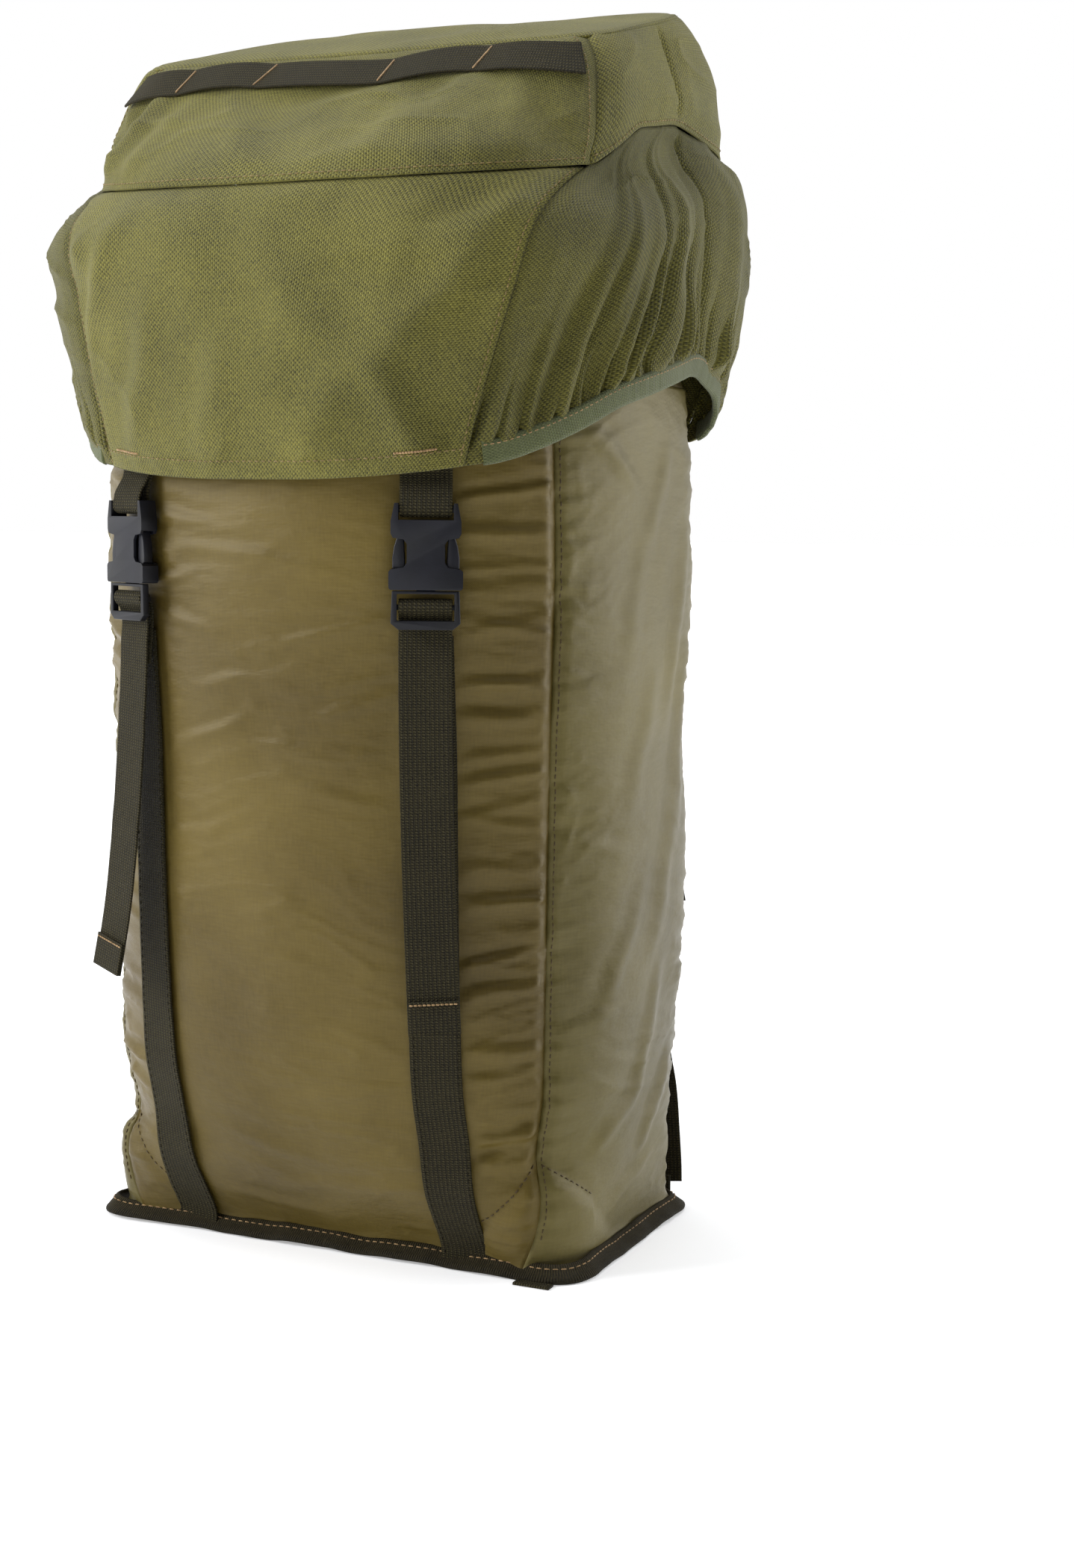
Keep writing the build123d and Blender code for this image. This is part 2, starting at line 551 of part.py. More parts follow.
RIGHT_WEBBING = [
    ((99, 111.5, 203), (1, -0.15, -0.1)), ((106, 110, 180), (1, -0.15, -0.1)), ((116, 107, 150), (1, -0.15, -0.1)),
    ((126, 103, 118), (1, -0.2, -0.1)), ((133, 99, 90), (1, -0.2, -0.1)), ((135, 95, 62), (1, -0.2, 0)),
    ((130, 90, 36), (1, -0.1, 0.1)), ((124, 84, 18), (1, 0, 0.1)), ((122, 80, 10), (1, 0, 0.1)),
]
LEFT_WEBBING = [
    ((-171.5, 15, 193), (0.05, 1, 0.3)), ((-173, 8, 172), (0.05, 1, 0.2)), ((-171, 6, 140), (0.05, 1, 0)),
    ((-167, 14, 105), (0.05, 1, -0.3)), ((-163, 32, 75), (0.1, 1, -0.5)), ((-158, 55, 50), (0.3, 1, -0.6)),
    ((-150, 76, 30), (0.7, 0.8, -0.4)), ((-138, 86.5, 17), (1, 0.2, -0.1)), ((-130, 84, 10), (1, 0, 0)),
]


def lock_body(centre, across, down):
    """A ladder-lock frame: two bars for the webbing and a wider top bar."""
    across = Vector(*across).normalized()
    down = Vector(*down).normalized()
    normal = across.cross(down).normalized()
    plane = Plane(origin=centre, x_dir=across, z_dir=normal)
    frame = RectangleRounded(LOCK_WIDTH, LOCK_HEIGHT, 4)
    for low, high in ((-8.6, -3.6), (-1.2, 3.0), (5.4, 8.8)):
        frame -= Pos(0, (low + high) / 2) * Rectangle(LOCK_WIDTH - 7, high - low)
    return extrude(plane * frame, LOCK_THICK / 2, both=True).solid()


def make_back():
    """Shoulder straps, their ladder locks and webbing, the yoke and the haul loop."""
    for name, strap, webbing in (("right", RIGHT_STRAP, RIGHT_WEBBING), ("left", LEFT_STRAP, LEFT_WEBBING)):
        nodes[f"{name}_shoulder_strap"] = band(strap, STRAP_WIDTH, STRAP_THICK)
        nodes[f"{name}_shoulder_webbing"] = band(webbing, WEBBING_WIDTH, WEBBING)
        end, across = Vector(*strap[-1][0]), strap[-1][1]
        start = Vector(*webbing[0][0])
        down = (start - end).normalized()
        nodes[f"{name}_ladder_lock"] = lock_body(tuple(end + down * (LOCK_HEIGHT / 2 + 9)), across, tuple(down))
    loop = [
        ((-22, 83.5, 384), (0, 0, 1)), ((-22, 88, 384), (0, 0, 1)), ((-17, 98, 382), (0, 0, 1)),
        ((-8, 103, 380), (0, 0, 1)), ((8, 103, 380), (0, 0, 1)), ((17, 98, 382), (0, 0, 1)),
        ((22, 88, 384), (0, 0, 1)), ((22, 83.5, 384), (0, 0, 1)),
    ]
    nodes["haul_loop"] = band(loop, 18.0, 2.0)


def make_base_fittings():
    """Anchors of the shoulder webbing at the base, and the small tab under the corner."""
    for name, x in (("left", -116.0), ("right", 116.0)):
        outline = [(x - 15, 3.4), (x + 15, 3.4), (x + 11, 15), (x - 11, 15)]
        nodes[f"{name}_strap_anchor"] = prism_y(outline, 75.5, 78.0)
    front_edge = -BODY_RINGS[0][2] - BINDING_WIDTH
    nodes["base_tab"] = box_between((110, front_edge - 7, 0), (129, front_edge, 1.4))


# ---- build --------------------------------------------------------------------------
def main():
    body = make_body()
    make_base()
    make_collar()
    make_straps_and_buckles(body)
    lid = make_lid()
    nodes["daisy_chain"] = make_daisy_chain(lid)
    nodes["left_edge_binding"] = make_edge_binding(lid, -1)
    nodes["right_edge_binding"] = make_edge_binding(lid, 1)
    make_zip(lid)
    make_back()
    make_base_fittings()
    os.makedirs("parts", exist_ok=True)
    for name, shape in nodes.items():
        export_step(shape, f"parts/{name}.step")
        print(name, len(shape.solids()), round(shape.volume))


main()
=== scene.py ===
import math

import bmesh
import bpy
import numpy as np
from mathutils import Matrix, Vector


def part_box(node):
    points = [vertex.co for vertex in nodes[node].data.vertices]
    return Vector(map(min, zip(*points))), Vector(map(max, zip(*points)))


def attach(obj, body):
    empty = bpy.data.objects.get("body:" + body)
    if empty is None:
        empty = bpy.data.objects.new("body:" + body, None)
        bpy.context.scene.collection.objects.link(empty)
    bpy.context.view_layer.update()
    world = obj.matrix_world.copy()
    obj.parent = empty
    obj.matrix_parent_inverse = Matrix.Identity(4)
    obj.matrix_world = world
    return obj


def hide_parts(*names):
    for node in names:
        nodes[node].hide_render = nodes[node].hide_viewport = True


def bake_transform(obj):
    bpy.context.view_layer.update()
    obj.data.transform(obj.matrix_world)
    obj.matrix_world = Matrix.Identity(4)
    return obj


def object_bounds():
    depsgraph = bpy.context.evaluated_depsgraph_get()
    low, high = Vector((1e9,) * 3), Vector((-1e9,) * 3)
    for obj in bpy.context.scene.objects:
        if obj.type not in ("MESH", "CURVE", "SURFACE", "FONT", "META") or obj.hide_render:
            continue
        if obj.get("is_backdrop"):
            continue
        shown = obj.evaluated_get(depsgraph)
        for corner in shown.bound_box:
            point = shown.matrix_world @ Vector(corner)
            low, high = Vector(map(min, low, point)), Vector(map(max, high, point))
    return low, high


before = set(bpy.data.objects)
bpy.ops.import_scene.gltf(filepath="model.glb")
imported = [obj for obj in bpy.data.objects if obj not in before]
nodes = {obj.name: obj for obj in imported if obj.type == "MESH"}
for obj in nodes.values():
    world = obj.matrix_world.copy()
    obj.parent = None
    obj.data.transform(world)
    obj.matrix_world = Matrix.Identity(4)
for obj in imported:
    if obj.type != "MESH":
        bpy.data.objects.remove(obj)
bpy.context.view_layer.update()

# Shapes are worked out in millimetres, in the frame of the CAD model, and written in metres.
MM = 0.001


# ---- the bag's sections, after the CAD model's --------------------------------------
# At each height: half width, front depth, back depth, front and back squareness
BODY_Z = np.array([2, 7, 45, 95, 170, 260, 350, 440])
BODY_ROWS = np.array([
    (131, 71, 71, 8.5, 9), (131.3, 72.5, 71.5, 7.5, 8.5), (137, 98, 76, 3.4, 5.5),
    (142, 116, 79, 2.7, 5), (145, 127, 80, 2.35, 5), (146, 131.5, 80, 2.3, 5),
    (146, 138.5, 80, 2.3, 5), (143, 133, 77, 2.3, 5),
])
COLLAR_Z = np.array([440.2, 462.0, 484.0])
COLLAR_ROWS = np.array([(142, 132, 76, 2.3, 5), (136, 124, 73, 2.3, 4), (128, 113, 68, 2.3, 3.5)])
# At each step up the lid: front y and z, back y and z, half width, shift, front and back squareness
LID_STEPS = np.array([0.0, 1.0, 2.0, 2.62, 3.0, 3.35, 4.0, 5.0])
LID_ROWS = np.array([
    (-146.5, 385, 87, 403, 150.5, 0, 2.3, 6),
    (-151, 430, 102, 448, 157, -1, 2.35, 6),
    (-148, 475, 108, 500, 168, -4, 2.4, 6),
    (-141.5, 508, 109, 541, 168, -4.5, 2.55, 5.5),
    (-132, 528, 108, 566, 150.5, -1, 2.35, 6),
    (-121, 541, 107, 580, 147, -0.5, 2.7, 6),
    (-92, 565, 103, 606, 144, -0.5, 3.2, 6),
    (-50, 601, 84, 638, 133, 0, 5, 5),
])
# The lid's lower edge
EDGE_Y = np.array([-170, -146, -110, -60, 17, 60, 84, 130])
EDGE_Z = np.array([388, 390, 400, 427, 447, 436, 414, 409])
# Steps up the lid: the front hem, the pocket's seam and the top
HEM_STEP, SEAM_STEP, TOP_STEP = 0.33, 3.0, 5.0
# Angles of the upright seams, from the bag's right side or, mirrored, from its left side
FRONT_SEAM, BACK_SEAM = math.atan2(80, 125), math.atan2(64, 134)
LID_CORNER, TOP_CORNER, LID_BACK = math.atan2(66, 133), math.atan2(44, 127), math.atan2(90, 132)
# The zip's height, and half of its slot's height and length
ZIP_Z, ZIP_SLOT, ZIP_END = 500.0, 5.6, 104.0
# The front straps' distance from the middle, and their webbing's width and thickness
STRAP_X, WEB_WIDTH, WEB = 78.0, 25.0, 1.3
# Thicknesses of cloth
BODY_CLOTH, BASE_CLOTH, COLLAR_CLOTH = 0.9, 0.8, 0.8
LID_CLOTH, LINING_CLOTH, TAPE_CLOTH = 1.2, 0.7, 0.6


def hermite(keys, rows, at):
    """Rows of numbers, smoothly between their keys."""
    at = np.clip(at, keys[0], keys[-1])
    slopes = np.gradient(rows, keys, axis=0)
    low = np.clip(np.searchsorted(keys, at, side="right") - 1, 0, len(keys) - 2)
    run = (keys[low + 1] - keys[low])[..., None]
    s = (at - keys[low])[..., None] / run
    return (
        (2 * s**3 - 3 * s**2 + 1) * rows[low] + (s**3 - 2 * s**2 + s) * run * slopes[low]
        + (3 * s**2 - 2 * s**3) * rows[low + 1] + (s**3 - s**2) * run * slopes[low + 1]
    )


def outline(angle, half_width, front, back, front_power, back_power):
    """Distance from the upright axis to a section's outline."""
    in_front = np.sin(angle) < 0
    depth = np.where(in_front, front, back)
    power = np.where(in_front, front_power, back_power)
    return (
        (np.abs(np.cos(angle)) / half_width) ** power + (np.abs(np.sin(angle)) / depth) ** power
    ) ** (-1 / power)


def upright(keys, rows):
    """A surface round the upright axis, as a function of angle and height."""
    def surface(angle, height):
        radius = outline(angle, *np.moveaxis(hermite(keys, rows, height), -1, 0))
        return np.stack([radius * np.cos(angle), radius * np.sin(angle), height + 0 * angle], -1)
    return surface


body_at = upright(BODY_Z, BODY_ROWS)
collar_at = upright(COLLAR_Z, COLLAR_ROWS)


def lid_at(angle, step):
    """A point of the lid, whose sections rise towards the back."""
    front_y, front_z, back_y, back_z, half, shift, n_front, n_back = np.moveaxis(
        hermite(LID_STEPS, LID_ROWS, step), -1, 0
    )
    radius = outline(angle, half, -front_y, back_y, n_front, n_back)
    y = radius * np.sin(angle)
    height = front_z + (back_z - front_z) * (y - front_y) / (back_y - front_y)
    return np.stack([radius * np.cos(angle) + shift, y, height], -1)


def unit(rows):
    """Vectors, each made one long."""
    return rows / np.linalg.norm(rows, axis=-1, keepdims=True)


def outward(surface, angle, at, step):
    """Unit normals of a surface, from its own formula, so that neighbours agree at a seam."""
    turn = 0.004
    across = surface(angle + turn, at) - surface(angle - turn, at)
    up = surface(angle, at + step) - surface(angle, at - step)
    return unit(np.cross(across, up))


def solve(function, low, high, rounds=40):
    """Where a rising function passes zero, element by element."""
    low, high = np.array(low, float), np.array(high, float)
    for _ in range(rounds):
        middle = (low + high) / 2
        below = function(middle) < 0
        low, high = np.where(below, middle, low), np.where(below, high, middle)
    return (low + high) / 2


def lid_edge_step(angle):
    """How far up the lid its lower edge lies."""
    def above(step):
        point = lid_at(angle, step)
        return point[..., 2] - np.interp(point[..., 1], EDGE_Y, EDGE_Z)
    return solve(above, np.zeros_like(angle), np.full_like(angle, SEAM_STEP))


# ---- noise --------------------------------------------------------------------------
def lattice(x, y, seed):
    """A value from 0 to 1 that looks random for each whole x and y."""
    value = np.sin(x * 127.1 + y * 311.7 + seed * 74.7) * 43758.5453
    return value - np.floor(value)


def noise(x, y, seed):
    """Smooth value noise from -1 to 1."""
    cell_x, cell_y = np.floor(x), np.floor(y)
    fx, fy = x - cell_x, y - cell_y
    fx, fy = fx**3 * (fx * (fx * 6 - 15) + 10), fy**3 * (fy * (fy * 6 - 15) + 10)
    low = lattice(cell_x, cell_y, seed) * (1 - fx) + lattice(cell_x + 1, cell_y, seed) * fx
    high = lattice(cell_x, cell_y + 1, seed) * (1 - fx) + lattice(cell_x + 1, cell_y + 1, seed) * fx
    return 2 * (low * (1 - fy) + high * fy) - 1


def fbm(x, y, seed, octaves=3):
    """Noise at several scales, each finer one half as strong."""
    total, weight = 0.0, 1.0
    for octave in range(octaves):
        total = total + weight * noise(x * 2**octave, y * 2**octave, seed + octave)
        weight *= 0.5
    return total


def ease(low, high, value):
    """From 0 at low to 1 at high, with soft ends."""
    s = np.clip((value - low) / (high - low), 0, 1)
    return s * s * (3 - 2 * s)


def bell(value, width, power=2):
    """1 at zero, falling away on both sides; a higher power gives a flatter top."""
    return np.exp(-((value / width) ** power))


def turns(count):
    """Angles all the way round, without the first one again."""
    return np.linspace(0, 2 * math.pi, count, endpoint=False)


def wrinkles(along, across, seed, length=55.0, spacing=9.0):
    """Sharp-topped creases that run along the first direction, on wandering lines."""
    wander = 14.0 * noise(along / 70.0, across / 60.0, seed + 11)
    ridge = 1 - np.abs(fbm(along / length, (across + wander) / spacing, seed, 2))
    return ridge**3 * (0.35 + 0.65 * ease(-0.2, 0.6, noise(along / 80.0, across / 45.0, seed + 5)))


def creases(x, y, marks):
    """Single folds: centre, direction in degrees, half length, half width and depth."""
    total = np.zeros_like(x)
    for mark_x, mark_y, turn, reach, width, depth in marks:
        c, s = math.cos(math.radians(turn)), math.sin(math.radians(turn))
        along = (x - mark_x) * c + (y - mark_y) * s
        side = (y - mark_y) * c - (x - mark_x) * s
        side = side + 0.12 * width * np.sin(along / 6.0)
        shape = bell(side, width) - 0.55 * bell(side - 1.7 * width, width)
        total += depth * shape * bell(along, reach, 4)
    return total


# ---- mesh helpers -------------------------------------------------------------------
def spans(line):
    """Running length along a line of points."""
    return np.concatenate([[0.0], np.cumsum(np.linalg.norm(np.diff(line, axis=0), axis=-1))])


def piece(name, points, faces, uvs=None):
    mesh = bpy.data.meshes.new(name)
    mesh.from_pydata((np.asarray(points).reshape(-1, 3) * MM).tolist(), [], faces)
    if uvs is not None:
        layer = mesh.uv_layers.new(name="fabric")
        index = np.concatenate([np.asarray(face) for face in faces])
        layer.data.foreach_set("uv", (np.asarray(uvs).reshape(-1, 2)[index] * MM).ravel())
    mesh.polygons.foreach_set("use_smooth", [True] * len(mesh.polygons))
    mesh.update()
    made = bpy.data.objects.new(name, mesh)
    bpy.context.scene.collection.objects.link(made)
    return made


def numbered(rows, columns, first=0, wrap=False):
    """The numbers of a grid's points.  wrap repeats the first column at the end."""
    index = np.arange(first, first + rows * columns).reshape(rows, columns)
    return np.concatenate([index, index[:, :1]], 1) if wrap else index


def quads(index):
    corners = [index[:-1, :-1], index[:-1, 1:], index[1:, 1:], index[1:, :-1]]
    return np.stack(corners, -1).reshape(-1, 4).tolist()


def grid(name, points, uvs, wrap=False):
    return piece(name, points, quads(numbered(*points.shape[:2], wrap=wrap)), uvs)


def disc(name, points):
    """Joins rings of points, from the middle out.  The first ring's points are all one point."""
    rings, count = points.shape[:2]
    index = numbered(rings - 1, count, 1, wrap=True)
    fan = np.stack([np.zeros(count, int), index[0, :-1], index[0, 1:]], -1)
    points = np.concatenate([points[0, :1], points[1:].reshape(-1, 3)])
    return piece(name, points, quads(index.T) + fan.tolist(), points[:, :2])


def fabric_uvs(points):
    """Lengths across and up a grid, so that a weave has one scale all over."""
    rows, columns = points.shape[:2]
    across = spans(points[rows // 2])
    up = spans(points[:, columns // 2])
    return np.stack(np.meshgrid(across - across.mean(), up), -1)


def dress(made, body, material, replaced=(), thick=0.0):
    """Gives a piece its material, thickness and body, and hides the CAD nodes that it stands for."""
    made.data.materials.append(material)
    if thick:
        solid = made.modifiers.new("cloth", "SOLIDIFY")
        solid.thickness = thick * MM
        solid.offset = -1
    if replaced:
        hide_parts(*replaced)
    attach(made, body)
    return made


class Panel:
    """A piece of cloth over part of a surface, with its relief already in its points."""

    def __init__(self, surface, angle, at, step, relief):
        self.flat = surface(angle, at)
        self.normal = outward(surface, angle, at, step)
        row = self.flat[self.flat.shape[0] // 2]
        self.across = np.broadcast_to(spans(row), angle.shape)
        self.up = np.stack([spans(self.flat[:, c]) for c in range(angle.shape[1])], 1)
        self.points = self.flat + self.normal * relief(self)[..., None]
        self.uvs = fabric_uvs(self.flat)

    def place(self, u, v, lift=0.0):
        """Points and normals at shares u across and v up, between the grid's own points."""
        rows, columns = self.points.shape[:2]
        x, y = np.clip(u, 0, 1) * (columns - 1), np.clip(v, 0, 1) * (rows - 1)
        i, j = np.minimum(x.astype(int), columns - 2), np.minimum(y.astype(int), rows - 2)
        fx, fy = (x - i)[:, None], (y - j)[:, None]
        found = []
        for array in (self.points, self.normal):
            low = array[j, i] * (1 - fx) + array[j, i + 1] * fx
            high = array[j + 1, i] * (1 - fx) + array[j + 1, i + 1] * fx
            found.append(low * (1 - fy) + high * fy)
        return found[0] + found[1] * lift, found[1]


def even(surface, low, high, at, count):
    """Angles from low to high, evenly spaced along the surface."""
    angles = np.linspace(low, high, 600)
    length = spans(surface(angles, np.full(600, at)))
    return np.interp(np.linspace(0, length[-1], count), length, angles)


def frames(line, across):
    """Across and outward directions along a line, square to it."""
    ahead = unit(np.gradient(line, axis=0))
    across = unit(across - ahead * np.sum(across * ahead, axis=1, keepdims=True))
    return across, np.cross(across, ahead)


def sweep(name, rings, uvs, closed=False):
    """Joins rings of points into a tube.  One that doesn't meet itself gets its ends capped."""
    index = numbered(*rings.shape[:2], wrap=True)
    caps = [] if closed else [index[0, :-1][::-1].tolist(), index[-1, :-1].tolist()]
    return piece(name, rings, quads(index) + caps, uvs)


def tube(name, line, across, out, section, uv_across):
    """Sweeps a closed section, as (across, out) pairs, along a line."""
    section = np.asarray(section, float)
    rings = line[:, None] + across[:, None] * section[None, :, :1] + out[:, None] * section[None, :, 1:]
    return sweep(name, rings, np.stack(np.meshgrid(np.asarray(uv_across, float), spans(line)), -1))


def band_section(width, thickness):
    """A woven band's section: flat faces and rounded selvedges."""
    half, round_half = width / 2, thickness / 2
    bends = np.linspace(-math.pi / 2, math.pi / 2, 6)
    right = [(half - round_half + round_half * math.cos(t), round_half * math.sin(t)) for t in bends]
    top = [(x, round_half) for x in np.linspace(half - 2.5, -half + 2.5, 5)]
    left = [(-x, -y) for x, y in right]
    bottom = [(-x, -y) for x, y in top]
    return right + top + left + bottom


def strip(
    name, stations, replaced=(), body="bag_body", width=WEB_WIDTH, thickness=WEB, pitch=1.6,
    ripple=0.15, seed=1,
):
    """A woven band along stations: each one is a centre and then the direction of its width."""
    stations = np.array(stations, float)
    keys = spans(stations[:, :3])
    steps = np.linspace(0, keys[-1], max(4, int(keys[-1] / pitch) + 1))
    stations = hermite(keys, stations, steps)
    across, out = frames(stations[:, :3], stations[:, 3:])
    line = stations[:, :3] + out * (ripple * noise(steps / 11.0, steps * 0, seed))[:, None]
    section = band_section(width, thickness)
    made = tube(name, line, across, out, section, [x for x, _ in section])
    dress(made, body, WEBBING, replaced)
    return line, across, out


def stitches(name, line, normal, body, pitch=3.4, length=2.5, radius=0.33, material=None):
    """Short thread capsules in a row along a line on the cloth."""
    keys = spans(line)
    count, sides = int(keys[-1] / pitch), 6
    rings = [(-0.5, 0.45, -0.35), (-0.3, 1.0, 0.0), (0.3, 1.0, 0.0), (0.5, 0.45, -0.35)]
    points, faces = [], []
    for middle in (np.arange(count) + 0.5) * keys[-1] / count:
        centre = hermite(keys, line, middle)
        before, after = (hermite(keys, line, np.clip(middle + d, 0, keys[-1])) for d in (-0.6, 0.6))
        ahead = unit(after - before)
        up = hermite(keys, normal, middle)
        up = unit(up - ahead * up.dot(ahead))
        side = np.cross(ahead, up)
        index = numbered(len(rings), sides, len(points), wrap=True)
        for offset, size, sink in rings:
            for turn in turns(sides):
                rise = sink + radius * size * math.sin(turn)
                aside = radius * size * math.cos(turn)
                points.append(centre + ahead * offset * length + up * rise + side * aside)
        faces += quads(index) + [index[0, :-1][::-1].tolist(), index[-1, :-1].tolist()]
    dress(piece(name, points, faces), body, material or THREAD)


# ---- materials ----------------------------------------------------------------------
def srgb(red, green, blue):
    return tuple(((c / 255 + 0.055) / 1.055) ** 2.4 for c in (red, green, blue)) + (1.0,)


class Maker:
    """Builds one node material."""

    def __init__(self, name, roughness, specular=0.5, sheen=0.0, sheen_roughness=0.5, metallic=0.0):
        self.material = bpy.data.materials.new(name)
        self.material.use_nodes = True
        self.tree = self.material.node_tree
        self.shader = self.tree.nodes["Principled BSDF"]
        for socket, value in (
            ("Roughness", roughness), ("Specular IOR Level", specular), ("Sheen Weight", sheen),
            ("Sheen Roughness", sheen_roughness), ("Metallic", metallic),
        ):
            self.shader.inputs[socket].default_value = value

    def node(self, kind, **values):
        made = self.tree.nodes.new(kind)
        for key, value in values.items():
            setattr(made, key, value)
        return made

    def link(self, source, target):
        if isinstance(source, (int, float)):
            target.default_value = source
        else:
            self.tree.links.new(source, target)

    def math(self, operation, first, second=0.0):
        made = self.node("ShaderNodeMath", operation=operation)
        self.link(first, made.inputs[0])
        self.link(second, made.inputs[1])
        return made.outputs[0]

    def total(self, *terms):
        """The sum of each value times its share."""
        parts = [self.math("MULTIPLY", value, share) for value, share in terms]
        result = parts[0]
        for part in parts[1:]:
            result = self.math("ADD", result, part)
        return result

    def uv(self):
        source = self.node("ShaderNodeUVMap", uv_map="fabric")
        split = self.node("ShaderNodeSeparateXYZ")
        self.link(source.outputs[0], split.inputs[0])
        return split.outputs[0], split.outputs[1], source.outputs[0]

    def object_point(self):
        return self.node("ShaderNodeTexCoord").outputs["Object"]

    def texture(self, vector, scale, detail=2.0, stretch=(1.0, 1.0, 1.0), roughness=0.5):
        mapping = self.node("ShaderNodeMapping")
        self.link(vector, mapping.inputs[0])
        mapping.inputs["Scale"].default_value = stretch
        made = self.node("ShaderNodeTexNoise")
        self.link(mapping.outputs[0], made.inputs["Vector"])
        made.inputs["Scale"].default_value = scale
        made.inputs["Detail"].default_value = detail
        made.inputs["Roughness"].default_value = roughness
        return made.outputs["Fac"]

    def checks(self, u, v, pitch_u, pitch_v):
        """Signed crossing of two rows of yarns: above zero on one set, below on the other."""
        across = self.math("SINE", self.math("MULTIPLY", u, math.pi / (pitch_u * MM)))
        along = self.math("SINE", self.math("MULTIPLY", v, math.pi / (pitch_v * MM)))
        return self.math("MULTIPLY", across, along)

    def ramp(self, factor, stops):
        made = self.node("ShaderNodeValToRGB")
        self.link(factor, made.inputs[0])
        ramp = made.color_ramp
        while len(ramp.elements) < len(stops):
            ramp.elements.new(0.5)
        for element, (position, colour) in zip(ramp.elements, stops):
            element.position = position
            element.color = colour
        return made.outputs[0]

    def colour(self, value):
        self.link(value, self.shader.inputs["Base Color"])

    def rough(self, value):
        self.link(value, self.shader.inputs["Roughness"])

    def bump(self, height, strength, distance, under=None):
        made = self.node("ShaderNodeBump")
        made.inputs["Strength"].default_value = strength
        made.inputs["Distance"].default_value = distance * MM
        self.link(height, made.inputs["Height"])
        if under is not None:
            self.link(under, made.inputs["Normal"])
        return made.outputs[0]

    def done(self, normal):
        self.link(normal, self.shader.inputs["Normal"])
        return self.material


def woven(
    name, dark, light, pitch, roughness, depth, sheen, mottle=0.5, blotch=18.0, specular=0.3,
    ribbed=False,
):
    """Cloth whose yarns cross at pitch (across, along), in two shades, with soft mottling."""
    made = Maker(name, roughness, specular, sheen, 0.45)
    u, v, _ = made.uv()
    cross = made.checks(u, v, *pitch)
    if ribbed:
        cross = made.math("SUBTRACT", made.total((made.math("ABSOLUTE", cross), 2.4)), 0.9)
    point = made.object_point()
    grain = made.texture(point, 900.0)
    patches = made.texture(point, blotch, 3.0)
    shade = made.total((cross, 0.22), (grain, 0.55), (patches, mottle))
    shade = made.math("SUBTRACT", shade, mottle * 0.5 - 0.2)
    made.colour(made.ramp(shade, [(0.15, dark), (0.85, light)]))
    made.rough(made.math("ADD", made.total((grain, 0.16)), roughness - 0.08))
    height = made.math("ADD", made.math("ABSOLUTE", cross), made.total((grain, 0.5)))
    return made.done(made.bump(height, 0.75, depth))


def nylon(name, dark, light, roughness):
    """Thin coated nylon: fine weave, satin lustre and small crinkles."""
    made = Maker(name, roughness, 0.38)
    made.shader.inputs["Specular Tint"].default_value = (1.0, 0.86, 0.58, 1.0)
    u, v, flat = made.uv()
    cross = made.checks(u, v, 0.45, 0.45)
    point = made.object_point()
    streaks = made.texture(flat, 900.0, stretch=(1.0, 0.12, 1.0))
    rows = made.texture(flat, 900.0, stretch=(0.12, 1.0, 1.0))
    patches = made.texture(point, 9.0, 4.0)
    shade = made.total((streaks, 0.16), (rows, 0.16), (patches, 0.75), (cross, 0.06))
    made.colour(made.ramp(shade, [(0.3, dark), (0.8, light)]))
    made.rough(made.math("ADD", made.total((patches, 0.2)), roughness - 0.1))
    crinkle = made.texture(flat, 55.0, 4.0, (0.45, 1.0, 1.0), 0.6)
    under = made.bump(crinkle, 0.55, 2.2)
    height = made.math("ADD", made.math("ABSOLUTE", cross), made.total((rows, 0.6)))
    return made.done(made.bump(height, 0.35, 0.12, under))


def plastic(name, dark, light, roughness):
    made = Maker(name, roughness, 0.32)
    point = made.object_point()
    grain = made.texture(point, 1400.0)
    patches = made.texture(point, 45.0, 3.0)
    made.colour(made.ramp(patches, [(0.3, dark), (0.75, light)]))
    made.rough(made.math("ADD", made.total((patches, 0.18)), roughness - 0.08))
    return made.done(made.bump(grain, 0.35, 0.08))


def metal(name, tone, roughness):
    made = Maker(name, roughness, 0.5, metallic=1.0)
    scratches = made.texture(made.object_point(), 500.0, 4.0, (1.0, 0.2, 1.0))
    dark = tuple(0.7 * c for c in tone[:3]) + (1.0,)
    made.colour(made.ramp(scratches, [(0.3, dark), (0.7, tone)]))
    return made.done(made.bump(scratches, 0.3, 0.05))


def thread(name, dark, light):
    made = Maker(name, 0.6, 0.3, 0.1)
    twist = made.texture(made.object_point(), 700.0)
    made.colour(made.ramp(twist, [(0.3, dark), (0.7, light)]))
    return made.done(made.bump(twist, 0.5, 0.1))


BODY = nylon("body_nylon", srgb(60, 48, 17), srgb(104, 89, 40), 0.4)
LID = woven("lid_cordura", srgb(34, 35, 5), srgb(146, 140, 62), (1.05, 1.05), 0.6, 0.7, 0.05, 0.36)
# The gussets' cordura is the lid's cloth in darker colours: painted shade, a shaded copy of the same
# weave.
GUSSET_PAINTED_SHADE = woven("gusset_cordura_painted_shade", srgb(28, 29, 4), srgb(124, 119, 50), (1.05, 1.05), 0.6, 0.7, 0.05, 0.36)
# The side panels' nylon is the body's nylon in lighter, greener colours: a painted sheen, a lit copy of
# the same cloth.
SIDE_PAINTED_SHEEN = nylon("side_nylon_painted_sheen", srgb(66, 59, 26), srgb(108, 99, 55), 0.41)
LINING = nylon("lining_nylon", srgb(76, 68, 40), srgb(104, 94, 58), 0.5)
WEBBING = woven(
    "dark_webbing", srgb(15, 13, 6), srgb(70, 64, 40), (2.1, 1.35), 0.68, 0.9, 0.0, 0.15, 60.0, 0.16,
    ribbed=True,
)
ELASTIC = woven(
    "sage_elastic", srgb(56, 62, 32), srgb(102, 108, 66), (0.7, 1.3), 0.7, 0.4, 0.15, 0.25, 60.0
)
